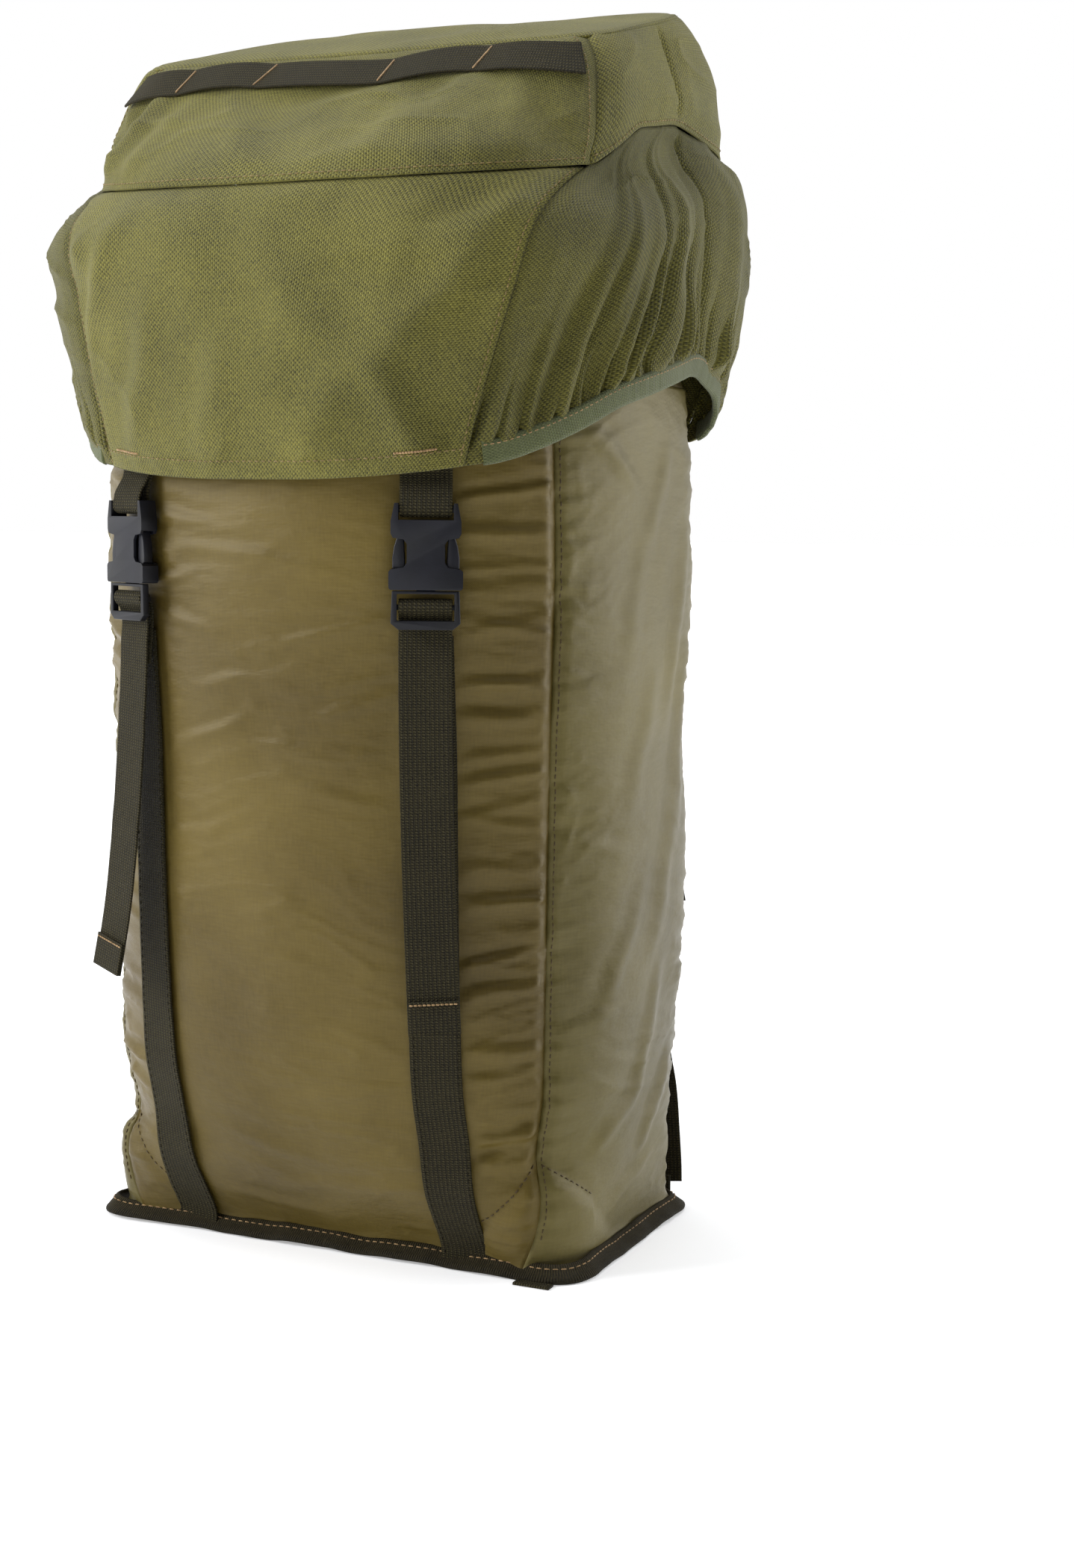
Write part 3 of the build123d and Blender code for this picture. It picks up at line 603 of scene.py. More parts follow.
BINDING = woven(
    "base_binding_tape", srgb(14, 12, 6), srgb(66, 59, 38), (26.0, 1.2), 0.72, 0.9, 0.0, 0.2, 60.0, 0.14,
    ribbed=True,
)
STRAP = woven("strap_cordura", srgb(46, 45, 16), srgb(104, 100, 48), (0.9, 0.9), 0.68, 0.35, 0.1)
TAPE = woven("zip_tape_cloth", srgb(40, 42, 26), srgb(70, 72, 48), (0.7, 0.7), 0.72, 0.3, 0.05)
PLASTIC = plastic("buckle_plastic", srgb(6, 7, 11), srgb(20, 21, 30), 0.42)
TEETH = plastic("zip_nylon", srgb(34, 36, 26), srgb(58, 60, 44), 0.4)
METAL = metal("dark_metal", srgb(96, 92, 84), 0.35)
THREAD = thread("tan_thread", srgb(118, 92, 58), srgb(178, 146, 102))
BROWN = thread("brown_thread", srgb(44, 32, 12), srgb(84, 66, 32))
KHAKI = thread("khaki_thread", srgb(88, 76, 38), srgb(146, 126, 78))


# ---- body of the bag ----------------------------------------------------------------
def pinch(distance, along, seed):
    """A seam's groove, with short puckers that run away from it."""
    groove = -1.9 * bell(distance, 3.2)
    pull = 1.25 * np.exp(-distance / 16.0) * noise(along / 5.5, distance / 60.0, seed)
    pull += 0.8 * np.exp(-distance / 30.0) * noise(along / 12.0, distance / 90.0, seed + 1)
    return groove + pull * ease(0.0, 4.0, distance)


# Single folds for creases(): across and up, direction, half length, half width and depth
FRONT_CREASES = [
    (-52, 372, -8, 24, 3, 1.6), (-30, 357, -4, 30, 3.2, 1.3), (-60, 342, 10, 18, 2.6, 1.3),
    (10, 352, -10, 26, 3, 1), (-48, 322, -14, 20, 3, 1.5), (30, 318, 14, 30, 3, 1.4),
    (-10, 296, 9, 36, 3.4, 1.3), (48, 286, 16, 22, 3, 1.7), (-36, 268, 20, 22, 3.2, 1.5),
    (5, 262, -10, 26, 3, 0.9), (34, 240, -10, 24, 3.2, 1), (-50, 218, 8, 20, 3.2, 1.1),
    (108, 350, 4, 20, 2.4, 1.6), (110, 322, -12, 22, 2.6, 1.7), (106, 296, -8, 20, 2.6, 1.7),
    (109, 262, 8, 20, 2.6, 1.5), (110, 228, -10, 20, 2.6, 1.5), (108, 190, 10, 18, 2.6, 1.5),
    (110, 158, -8, 18, 2.6, 1.4), (106, 118, 6, 18, 2.8, 1.5), (-106, 344, -6, 18, 2.6, 1.5),
    (-108, 300, 8, 18, 2.6, 1.4), (-106, 230, -8, 18, 2.6, 1.3), (30, 92, 10, 26, 3.4, 1),
    (-20, 60, -14, 30, 4, 1), (20, 40, 6, 40, 4, 1.2), (-30, 24, -5, 30, 3, 1),
    (104, 66, 40, 22, 3.4, 1.8),
]
# Short creases one above the other along both corner seams
for number in range(17):
    for side in (-1, 1):
        FRONT_CREASES.append((
            side * (104 + 4 * math.sin(2.3 * number)),
            56 + 22 * number + 5 * math.sin(3.1 * number + side),
            side * (9 + 7 * math.sin(1.7 * number)),
            22 + 5 * math.cos(2.9 * number),
            3.2 + 0.9 * math.cos(1.9 * number),
            2.1 + 0.9 * math.sin(1.3 * number + side),
        ))
SIDE_CREASES = [
    (40, 402, -34, 26, 5, 1.8), (86, 384, 62, 30, 6, 2), (60, 338, 70, 34, 7, 1.6),
    (110, 320, 78, 44, 6, 2), (34, 296, 10, 20, 4, 1.4), (66, 262, 66, 36, 7, 1.6),
    (30, 214, -8, 20, 4, 1.4), (100, 204, 74, 50, 7, 1.8), (52, 160, 58, 36, 6, 1.7),
    (28, 128, 12, 18, 4, 1.4), (84, 112, 66, 36, 6, 2), (56, 74, 34, 24, 5, 2.2),
    (106, 70, 50, 30, 6, 2.4), (80, 34, 20, 30, 5, 2), (120, 260, 80, 50, 7, 1.8),
]
FOLD_TOP = 58.0


def corner_fold(from_seam, z, reach, foot):
    """The box pleat at a lower front corner: a flat triangle that laps over the panel."""
    drop = FOLD_TOP + 2 - foot
    inside = -((z - FOLD_TOP - 2) * reach + from_seam * drop) / math.hypot(reach, drop)
    return 3.1 * ease(-0.5, 0.9, inside) * ease(0, 12, inside + 4 * (from_seam < reach)) * ease(3, 14, z)


def base_flare(z):
    """How far the cloth runs out to meet the binding round the base."""
    return 5.2 * bell(z, 6.5)


def body_relief(seed, marks=(), soft=1.0, folded=(), fold_line=(38.0, 8.0)):
    """Wrinkles, puckered seams and the base's corners.  folded names the seams with a corner fold."""
    def relief(panel):
        x, z = panel.flat[..., 0], panel.flat[..., 2]
        first, last = panel.across, panel.across[0, -1] - panel.across
        near = np.minimum(first, last)
        amount = soft * wrinkles(first, z, seed) + 1.8 * soft * fbm(first / 70.0, z / 90.0, seed + 3, 2)
        amount += 1.7 * np.exp(-near / 26.0) * wrinkles(first, z, seed + 9, 26.0, 7.0)
        on_front = panel.flat[..., 1].max() < 0
        amount += 0.75 * creases(x if on_front else first, z, marks)
        clear = 1 - bell(np.abs(x) - STRAP_X, 15.0, 4) if on_front else 1.0
        hold = ease(2.0, 22.0, z) * (1 - 0.6 * ease(415, 440, z)) * ease(0, 8, near)
        seams = pinch(first, z, seed % 3 + 40) + pinch(last, z, (seed + 1) % 3 + 40)
        folds = 0.0
        for hand in folded:
            folds = folds + corner_fold(first if hand < 0 else last, z, *fold_line)
        rise = np.clip(1 - z / FOLD_TOP, 0, 1)
        corner = 6.5 * np.exp(-near / 15.0) * rise * ease(0, 0.25, rise)
        return (amount * hold + folds) * clear + seams * ease(4, 30, z) + base_flare(z) + corner
    return relief


def body_panel(name, low, high, seed, marks=(), soft=1.0, **corner):
    """One side of the bag, from an angle to another."""
    mean_radius, pitch = 140, 1.7
    angles = even(body_at, low, high, 260.0, int(abs(high - low) * mean_radius / pitch))
    heights = np.concatenate([np.linspace(2.2, 12, 8)[:-1], np.linspace(12, 440, int(428 / pitch))])
    angle, height = np.meshgrid(angles, heights)
    panel = Panel(body_at, angle, height, 0.5, body_relief(seed, marks, soft, **corner))
    made = grid(f"{name}_cloth", panel.points, panel.uvs)
    # Side panels take the lighter copy of the body nylon, whose colours carry painted sheen.
    dress(made, "bag_body", SIDE_PAINTED_SHEEN if "side" in name else BODY, [name], BODY_CLOTH)
    return panel


front = body_panel("front_panel", -math.pi + FRONT_SEAM, -FRONT_SEAM, 3, FRONT_CREASES, folded=(-1, 1))
side_look = {"marks": SIDE_CREASES, "soft": 0.9, "fold_line": (34.0, 36.0)}
right_side = body_panel("right_side_panel", -FRONT_SEAM, BACK_SEAM, 7, folded=(-1,), **side_look)
body_panel("back_panel", BACK_SEAM, math.pi - BACK_SEAM, 12, soft=0.8)
left_side = body_panel(
    "left_side_panel", math.pi - BACK_SEAM, math.pi + FRONT_SEAM, 17, folded=(1,), **side_look
)

for name, panel, hand, reach, foot in (
    ("front_right", front, 1, 37.0, 12.0), ("front_left", front, -1, 37.0, 12.0),
    ("side_right", right_side, -1, 33.0, 38.0), ("side_left", left_side, 1, 33.0, 38.0),
):
    shares = np.linspace(0, 1, 40)
    from_seam = (1.5 + shares * reach) / panel.across[0, -1]
    heights = panel.flat[:, 0, 2]
    rows = np.interp(FOLD_TOP + shares * (foot - FOLD_TOP), heights, np.arange(len(heights)))
    line, normal = panel.place(from_seam if hand < 0 else 1 - from_seam, rows / (len(heights) - 1), 0.15)
    stitches(f"{name}_fold_stitches", line, normal, "bag_body", 3.6, 2.5, 0.34, BROWN)

for name, panel, u in (
    ("front_right", right_side, 0.018), ("front_left", left_side, 0.982),
    ("back_right", right_side, 0.982), ("back_left", left_side, 0.018),
):
    shares = np.linspace(0.05, 0.99, 220)
    line, normal = panel.place(np.full(220, u), shares, 0.1)
    stitches(f"{name}_seam_stitches", line, normal, "bag_body", 3.6, 2.6, 0.3, BROWN)


def make_collar():
    """The gathered collar, with a drawcord's channel below the rim."""
    low, high = COLLAR_Z[0] + 0.2, COLLAR_Z[-1] - 0.5
    angle, height = np.meshgrid(turns(420), np.linspace(low, high, 34))
    rise = (height - low) / 43.0
    gather = rise**1.3 * (
        1.6 * np.sin(angle * 46 + 1.5 * noise(angle * 5, height / 30, 3))
        + 0.9 * noise(angle * 20, height / 25, 4)
    )
    channel = 0.7 * bell(height - 480, 3.4) - 0.5 * bell(height - 469, 1.6)
    gather = gather * (1 - bell((angle - 1.5 * math.pi) * 118, 22, 4))
    points = collar_at(angle, height)
    normal = outward(collar_at, angle, height, 0.3)
    points = points + normal * (gather * 0.9 - 0.9 * rise + channel)[..., None]
    made = grid("collar_cloth", points, fabric_uvs(points), wrap=True)
    dress(made, "bag_body", LINING, ["collar"], COLLAR_CLOTH)


make_collar()
nodes["collar_eyelets"].data.materials.clear()
nodes["collar_eyelets"].data.materials.append(METAL)


def rounded_rectangle(half_x, half_y, corner, count):
    """Points round a rectangle with round corners, counter-clockwise from the front middle."""
    path = []
    for centre_x, centre_y, start in ((1, -1, -90), (1, 1, 0), (-1, 1, 90), (-1, -1, 180)):
        for turn in np.radians(np.linspace(start, start + 90, 12)):
            x = centre_x * (half_x - corner) + corner * math.cos(turn)
            path.append((x, centre_y * (half_y - corner) + corner * math.sin(turn)))
    line = np.array([(0.0, -half_y), *path, (0.0, -half_y)])
    keys = spans(line)
    steps = np.linspace(0, keys[-1], count, endpoint=False)
    return np.stack([np.interp(steps, keys, line[:, k]) for k in range(2)], -1), steps


# Outward and up round the base's binding
BINDING_SECTION = np.array([
    (5.4, 0.0), (5.1, 0.7), (4.3, 1.15), (1.5, 1.0), (-1.5, 0.9), (-4.2, 1.0), (-5.4, 0.5),
    (-5.4, -0.5), (-4.2, -1.0), (-1.5, -1.0), (1.5, -1.0), (4.3, -1.15), (5.1, -0.7),
])


def make_base_cloth():
    plan, _ = rounded_rectangle(130.5, 70.5, 15.5, 260)
    shares = np.linspace(0, 1, 40)[:, None]
    points = np.zeros((40, 260, 3))
    points[..., :2] = plan[None] * shares[..., None]
    sag = noise(points[..., 0] / 60, points[..., 1] / 60, 21) * (1 - shares**2)
    points[..., 2] = 1.3 + 0.5 * sag
    dress(disc("base_cloth", points), "bag_body", BODY, ["base_panel"], BASE_CLOTH)


def make_base_binding():
    """The tape folded round the base's seam: it waves a little and reaches out at the corners."""
    plan, steps = rounded_rectangle(137.6, 77.6, 22, 520)
    x, y = plan.T
    line = np.stack([x, y, 0 * x], 1)
    ahead = unit(np.roll(line, -1, 0) - np.roll(line, 1, 0))
    out = np.stack([ahead[:, 1], -ahead[:, 0], 0 * x], 1)
    wave = noise(x / 11, y / 11, 31)
    corner = bell(np.abs(x) - 132, 16) * bell(np.abs(y) - 72, 14)
    line = line + out * (1.1 * wave + 3.0 * corner)[:, None]
    line[:, 2] = 4.9 + 0.6 * noise(x / 19, y / 19, 32) + 0.4 * wave
    tip = (-0.76 + 0.16 * noise(line[:, 0] / 17, line[:, 1] / 17, 33))[:, None]
    up = np.array([0, 0, 1.0])
    across = out * np.cos(tip) + up * np.sin(tip)
    raised = up * np.cos(tip) - out * np.sin(tip)
    section = BINDING_SECTION[None]
    points = line[:, None] + across[:, None] * section[..., :1] + raised[:, None] * section[..., 1:]
    points = np.concatenate([points, points[:1]], 0)
    uvs = np.stack(np.meshgrid(spans(BINDING_SECTION), np.append(steps, steps[-1] + 1.5)), -1)
    made = sweep("base_binding_tape", points, uvs, closed=True)
    dress(made, "bag_body", BINDING, ["base_binding"])
    seam = line + raised * 1.1 - across * 2.4
    seam, raised = (np.concatenate([rows, rows[:1]]) for rows in (seam, raised))
    stitches("base_binding_stitches", seam, raised, "bag_body", 4.2, 2.9, 0.32)


make_base_cloth()
make_base_binding()


# ---- front straps and buckles -------------------------------------------------------
# Depths outward from the body: the sewn strap, the loop behind the bar, the tail, the housing's faces
UNDER = 0.95 + WEB / 2
LOOP_BACK = UNDER + WEB + 0.4
TAIL = LOOP_BACK + WEB + 0.45
FEMALE_BACK, FEMALE_FRONT = 1.6, TAIL + 5.3
# The height of a buckle's foot, and its housing's bar above that
BUCKLE_Z, BAR_LOW = 321.4, 54.0
# Outward and up from a buckle's foot: the strap's loop round the male half's bar
LOOP_PATH = [
    (LOOP_BACK, -21.0), (LOOP_BACK, 10.6), (LOOP_BACK + 0.9, 12.9), (LOOP_BACK + 2.9, 14.0),
    (LOOP_BACK + 4.9, 13.2), (LOOP_BACK + 5.6, 11.2), (LOOP_BACK + 5.0, 8.9), (TAIL + 0.9, 6.3),
    (TAIL, 4.0),
]
# Right, outward and up from a buckle's foot: the hanging tails
TAIL_PATHS = {
    "right": [
        (0.0, TAIL, -12.0), (0.6, TAIL, -60.0), (2.0, TAIL + 0.6, -110.0), (4.0, TAIL + 0.4, -160.0),
        (5.5, TAIL + 1.5, -191.0),
    ],
    "left": [
        (0.0, TAIL, -12.0), (-2.5, TAIL + 0.8, -55.0), (-6.5, TAIL + 2.5, -105.0),
        (-12.0, TAIL + 5.0, -150.0), (-15.5, TAIL + 8.0, -176.0),
    ],
}
FRONT_STRAP_Z = (3.9, 6.5, 10, 16, 26, 45, 70, 95, 130, 170, 215, 260, 300, 318)


def front_angle(surface, at, x):
    """The angle at which a surface's front is at a sideways place."""
    return solve(lambda a: surface(a, np.full_like(a, at))[..., 0] - x, [-math.pi + 0.2], [-0.2])


def buckle_frame(side):
    """Where a buckle sits: a point on the body, its across and its outward directions."""
    at = np.array([BUCKLE_Z + 25])
    angle = front_angle(body_at, at[0], side * STRAP_X)
    point, normal = body_at(angle, at)[0], outward(body_at, angle, at, 0.5)[0]
    out = unit(normal * [1, 1, 0])
    return point * [1, 1, 0], np.array([-out[1], out[0], 0]), out


def beside(place, x, depth, height):
    """A station of a strap that lies across a buckle: right, outward and up from the buckle's foot."""
    origin, across, out = place
    return (*(origin + across * x + out * depth + [0, 0, BUCKLE_Z + height]), *across)


def copy_hard(name, material, bevel, body, new_name):
    """A CAD solid with its edges broken, as moulded plastic has."""
    source = nodes[name]
    mesh = source.data.copy()
    work = bmesh.new()
    work.from_mesh(mesh)
    bmesh.ops.remove_doubles(work, verts=work.verts, dist=0.00002)
    bmesh.ops.dissolve_limit(work, angle_limit=math.radians(3), verts=work.verts, edges=work.edges)
    work.to_mesh(mesh)
    work.free()
    mesh.materials.clear()
    made = bpy.data.objects.new(new_name, mesh)
    bpy.context.scene.collection.objects.link(made)
    made.matrix_world = source.matrix_world.copy()
    mesh.polygons.foreach_set("use_smooth", [True] * len(mesh.polygons))
    round_off = made.modifiers.new("edges", "BEVEL")
    round_off.width = bevel * MM
    round_off.segments = 3
    round_off.limit_method = "ANGLE"
    round_off.angle_limit = math.radians(28)
    round_off.harden_normals = True
    dress(made, body, material, [name])


def front_strap(name, side):
    """The sewn strap, which follows the body down to the base's binding."""
    stations = []
    for height in FRONT_STRAP_Z:
        point = body_at(front_angle(body_at, height, side * STRAP_X), np.array([height]))[0]
        at = np.array([max(height, 30.0)])
        normal = outward(body_at, front_angle(body_at, at[0], side * STRAP_X), at, 0.5)[0]
        point = point + normal * (UNDER + 0.2)
        point[1] -= base_flare(height) + 0.8 * bell(height, 30.0)
        stations.append((*point, -normal[1], normal[0], 0))
    line, across, out = strip(f"{name}_front_webbing", stations, [f"{name}_front_strap"], seed=side + 4)
    rows = np.arange(2, len(line) - 4)
    out = out[rows] * (1 if np.dot(out[10], line[10] * [1, 1, 0]) > 0 else -1)
    for letter, edge in (("a", -10.6), ("b", 10.6)):
        path = line[rows] + across[rows] * edge + out * 0.7
        stitches(f"{name}_strap_stitches_{letter}", path, out, "bag_body", 4.0, 2.6, 0.26, BINDING)


def strap_tail(name, side, place):
    """The strap's free end: a loop round the buckle's bar, the hanging tail and its folded hem."""
    points = [(0.0, *stop) for stop in LOOP_PATH] + TAIL_PATHS[name]
    line, across, out = strip(
        f"{name}_tail_webbing", [beside(place, *stop) for stop in points], [f"{name}_strap_tail"],
        f"{name}_buckle", seed=side + 8,
    )
    out = out * (1 if np.dot(out[-20], place[2]) > 0 else -1)
    hem = line[-12:] + out[-12:] * (WEB + 0.02)
    stations = np.concatenate([hem, across[-12:]], 1)[::-2]
    strip(f"{name}_tail_hem", stations, body=f"{name}_buckle", seed=side + 20, ripple=0.0)
    row = -10
    normal = np.repeat(out[row:row + 1], 12, 0)
    ends = line[row] + across[row] * np.linspace(-11.6, 11.6, 12)[:, None] + normal * 2.05
    stitches(f"{name}_tail_stitches", ends, normal, f"{name}_buckle", 2.1, 1.9, 0.42)


def buckle_tab(name, place):
    """The short webbing that holds a buckle's housing, doubled round its bar and sewn under the hem."""
    middle = (FEMALE_BACK + FEMALE_FRONT) / 2
    gap = 1.75 + WEB / 2
    inner, outer, hem, front_hem = middle - gap, middle + gap, 1.3, 1.8 + WEB
    path = [
        (hem, 82.0), (hem, 72.0), (inner, 61.5), (inner, BAR_LOW - 0.2), (inner + 1.2, BAR_LOW - 1.3),
        (outer - 1.2, BAR_LOW - 1.3), (outer, BAR_LOW - 0.2), (outer, 60.5), (front_hem, 71.2),
        (front_hem, 80.0),
    ]
    stations = [beside(place, 0, *stop) for stop in path]
    strip(f"{name}_tab_webbing", stations, [f"{name}_buckle_tab"], "lid", 24.4, pitch=1.0, ripple=0.0)


for name, side in (("left", -1), ("right", 1)):
    front_strap(name, side)
    place = buckle_frame(side)
    strap_tail(name, side, place)
    buckle_tab(name, place)
    for node, bevel, body, part in (
        ("buckle_female", 1.15, "lid", "buckle_housing"),
        ("buckle_male", 0.6, f"{name}_buckle", "buckle_frame"),
        ("buckle_outer_arm", 0.6, f"{name}_outer_arm", "outer_spring_arm"),
        ("buckle_inner_arm", 0.6, f"{name}_inner_arm", "inner_spring_arm"),
    ):
        copy_hard(f"{name}_{node}", PLASTIC, bevel, body, f"{name}_{part}")


# ---- lid ----------------------------------------------------------------------------
def flap_side(side, steps):
    """Angles of the flap's slanted side seam at each step up the lid."""
    def past(angle):
        point = lid_at(angle, steps)
        half = 97.0 + 34.0 * (point[..., 2] - 400.0) / 127.0
        return point[..., 0] - half if side > 0 else point[..., 0] + half
    low, high = (-math.pi / 2, 0.0) if side > 0 else (-math.pi, -math.pi / 2)
    return solve(past, np.full_like(steps, low), np.full_like(steps, high))


def lid_grid(low, high, bottom, top, columns, rows):
    """Angles and steps over part of the lid.  low and high give the side seams for each row."""
    shares = np.linspace(0, 1, rows)
    reference = even(
        lid_at, float(low(np.array([0.5]))[0]), float(high(np.array([0.5]))[0]), 2.5, columns
    )
    spread = (reference - reference[0]) / (reference[-1] - reference[0])
    left, right = low(shares)[:, None], high(shares)[:, None]
    angle = left + (right - left) * spread[None]
    low_step, high_step = bottom(angle), top(angle)
    return angle, low_step + (high_step - low_step) * shares[:, None]


def lid_relief(seed, gathers=(), soft=1.0, marks=(), rib=None, calm=0.0):
    """Soft hollows, seams that pull in, and gathers above an elastic edge."""
    def relief(panel):
        x, y, z = np.moveaxis(panel.flat, -1, 0)
        along, rise, fall = panel.across, panel.up, panel.up[-1:] - panel.up
        side = np.minimum(along, along[0, -1] - along)
        amount = 3.0 * soft * fbm(x / 62 + y / 80, z / 55, seed, 2)
        amount += 2.0 * soft * wrinkles(along, rise, seed + 4, 60.0, 26.0) + creases(x, z, marks)
        if rib is not None:
            amount += 2.4 * ease(0, 16, y - rib) - 2.8 * bell(y - rib, 2.4)
        amount = amount * ease(0, 16, side) * ease(calm, calm + 14, fall)
        amount += 0.5 * np.exp(-fall / 12) * noise(along / 9, rise * 0, seed + 8) * ease(0, 4, fall)
        amount = (amount - 1.3 * bell(fall, 2.6)) * ease(0, 14, rise)
        amount += 0.5 * np.exp(-rise / 12) * noise(along / 9, rise * 0, seed + 7) * ease(0, 4, rise)
        amount += 0.7 * np.exp(-side / 14) * noise(rise / 9, side / 60, seed + 6) * ease(0, 4, side)
        amount -= 1.3 * bell(side, 2.6)
        for centre, lean, spread, reach, depth in gathers:
            line = along - centre - lean * rise
            ridge = 0.7 * bell(line - 1.9 * spread, 1.2 * spread) - bell(line, spread)
            amount += 1.25 * depth * ridge * bell(rise, reach) * ease(7, 19, rise)
        if gathers:
            phase = along * 0.25 + 1.3 * noise(along / 21, rise / 60, seed + 2)
            pucker = (1 - np.abs(np.sin(phase))) ** 3
            tall = 16 + 14 * (1 + noise(along / 12, rise * 0, seed + 3))
            amount += bell(rise, tall) * ease(6, 12, rise) * (1.6 - 6.5 * pucker)
        return amount
    return relief


def constant(value):
    return lambda shares: np.full_like(shares, value)


def lid_panel(name, sides, steps, size, relief, node):
    """Cloth between two side seams and two steps up the lid."""
    angle, step = lid_grid(*sides, *steps, *size)
    panel = Panel(lid_at, angle, step, 0.02, relief)
    made = grid(f"lid_{name}_cloth", panel.points, panel.uvs)
    # Gusset panels take the darker copy of the lid cordura, whose colours carry painted shade.
    made.data.materials.append(GUSSET_PAINTED_SHADE if "gusset" in name else LID)
    cloth = made.modifiers.new("cloth", "SOLIDIFY")
    cloth.thickness, cloth.offset = LID_CLOTH * MM, -1
    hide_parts(node)
    if node == "lid_rear_lower_panel":
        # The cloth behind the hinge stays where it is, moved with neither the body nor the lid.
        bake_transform(made)
    else:
        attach(made, "lid")
    return panel


def seam_steps(angle):
    """The pocket's lower seam: level in front, higher over the sides, lower again behind."""
    depth = np.sin(angle)
    return SEAM_STEP + 0.45 * ease(-0.46, -0.18, depth) - 0.5 * ease(0.05, 0.56, depth)


def top_steps(angle):
    return np.full_like(angle, TOP_STEP)


def flap_rows(side):
    """The flap's side seam, from its hem up to the pocket's seam."""
    def angles(shares):
        return flap_side(side, HEM_STEP + (SEAM_STEP - HEM_STEP) * shares)
    return angles


def pocket_corner(side):
    """Angles of the pocket's front corner seams, which reach the top's corners."""
    def angles(shares):
        lean = LID_CORNER + (TOP_CORNER - LID_CORNER) * shares
        return -lean if side > 0 else -math.pi + lean
    return angles


rng = np.random.default_rng(11)
# The deepest folds: share of the way round, half width, reach up the lid, depth and lean
DEEP_FOLDS = (
    (0.16, 6, 90, 4, 0.14), (0.33, 6.5, 70, 4.4, -0.10), (0.58, 7, 90, 4.2, -0.12),
    (0.70, 9, 105, 4.8, 0.10), (0.82, 10, 115, 5.2, 0.05), (0.93, 8, 95, 4.2, 0),
)
GUSSET_WIDTH = 190.0


def flutes(count, hand):
    """Gathers of uneven size along an elastic edge: place, lean, half width, reach and depth."""
    folds = []
    for place in (np.arange(count) + 0.5) / count:
        share = place + (rng.random() - 0.5) * 0.95 / count
        depth = 2.9 * (0.7 + 0.9 * rng.random())
        reach = 20 + 34 * rng.random() + (60 if rng.random() > 0.72 else 0)
        lean = 0.22 * (rng.random() - 0.25)
        folds.append((share, lean, 2.4 + 1.6 * rng.random(), reach, depth))
    folds += [(share, lean, spread, reach, depth) for share, spread, reach, depth, lean in DEEP_FOLDS]
    start = 0 if hand > 0 else 1
    return [((start + share * hand) * GUSSET_WIDTH, lean * hand, *shape) for share, lean, *shape in folds]


# Single folds for creases() on the lid's front, below and above the pocket's seam
FLAP_MARKS = [
    (-100, 470, 66, 44, 7, 3), (-66, 436, 78, 40, 9, 2.2), (84, 470, 52, 46, 9, 3),
    (52, 446, 58, 40, 10, 2.4), (20, 470, -52, 40, 11, 2.2), (70, 420, -64, 30, 7, 2.2),
    (-20, 424, 80, 30, 9, 1.8), (100, 505, 30, 24, 7, 2.2), (-110, 500, 20, 24, 7, 2.4),
]
UPPER_MARKS = [
    (-112, 560, 62, 32, 6, 3.4), (-88, 556, 58, 26, 8, 2.2), (-30, 550, -40, 30, 9, 1.8),
    (60, 556, 40, 34, 10, 2.4), (105, 562, -65, 24, 7, 2), (20, 575, 12, 30, 8, 1.6),
]


def zip_steps(sign):
    """The steps up the lid at which the cloth stops above or below the zip."""
    def steps(angle):
        x = lid_at(angle, np.full_like(angle, 2.0))[..., 0]
        height = ZIP_Z + sign * ZIP_SLOT * ease(0, 7, ZIP_END + 3 - np.abs(x + 2))
        return solve(lambda step: lid_at(angle, step)[..., 2] - height, 0 * angle, TOP_STEP + 0 * angle)
    return steps


right_back, rear_end = constant(LID_BACK), constant(math.pi - LID_BACK)
left_back = constant(-math.pi - LID_BACK)
edge_to_seam, seam_to_top = (lid_edge_step, seam_steps), (seam_steps, top_steps)
flap = lid_panel(
    "flap", (flap_rows(-1), flap_rows(1)), edge_to_seam, (160, 96),
    lid_relief(51, marks=FLAP_MARKS), "lid_front_flap",
)
right_gusset = lid_panel(
    "right_gusset", (flap_rows(1), right_back), edge_to_seam, (210, 96),
    lid_relief(61, flutes(10, 1), rib=20.0), "lid_right_gusset",
)
left_gusset = lid_panel(
    "left_gusset", (left_back, flap_rows(-1)), edge_to_seam, (210, 96),
    lid_relief(71, flutes(10, -1), rib=20.0), "lid_left_gusset",
)
upper = lid_panel(
    "front_upper", (pocket_corner(-1), pocket_corner(1)), seam_to_top, (170, 60),
    lid_relief(81, marks=UPPER_MARKS, calm=27.0), "lid_front_upper_panel",
)
right_upper = lid_panel(
    "right_upper", (pocket_corner(1), right_back), seam_to_top, (110, 60),
    lid_relief(91, soft=0.8, rib=16.0), "lid_right_upper_side",
)
left_upper = lid_panel(
    "left_upper", (left_back, pocket_corner(-1)), seam_to_top, (110, 60),
    lid_relief(101, soft=0.8, rib=16.0), "lid_left_upper_side",
)
lid_panel(
    "rear_upper", (right_back, rear_end), (zip_steps(1), top_steps), (150, 90),
    lid_relief(111, soft=0.7), "lid_rear_upper_panel",
)
lid_panel(
    "rear_lower", (right_back, rear_end), (lid_edge_step, zip_steps(-1)), (150, 60),
    lid_relief(121, soft=0.5), "lid_rear_lower_panel",
)


def lid_disc(rim, rings, shrink=1.0):
    """Flat rings inside a rim, and each ring's share of the way out."""
    shares = np.linspace(0, 1, rings)[:, None, None]
    middle = rim.mean(0)
    return middle + (rim[None] - middle) * shares * shrink, shares[..., 0]


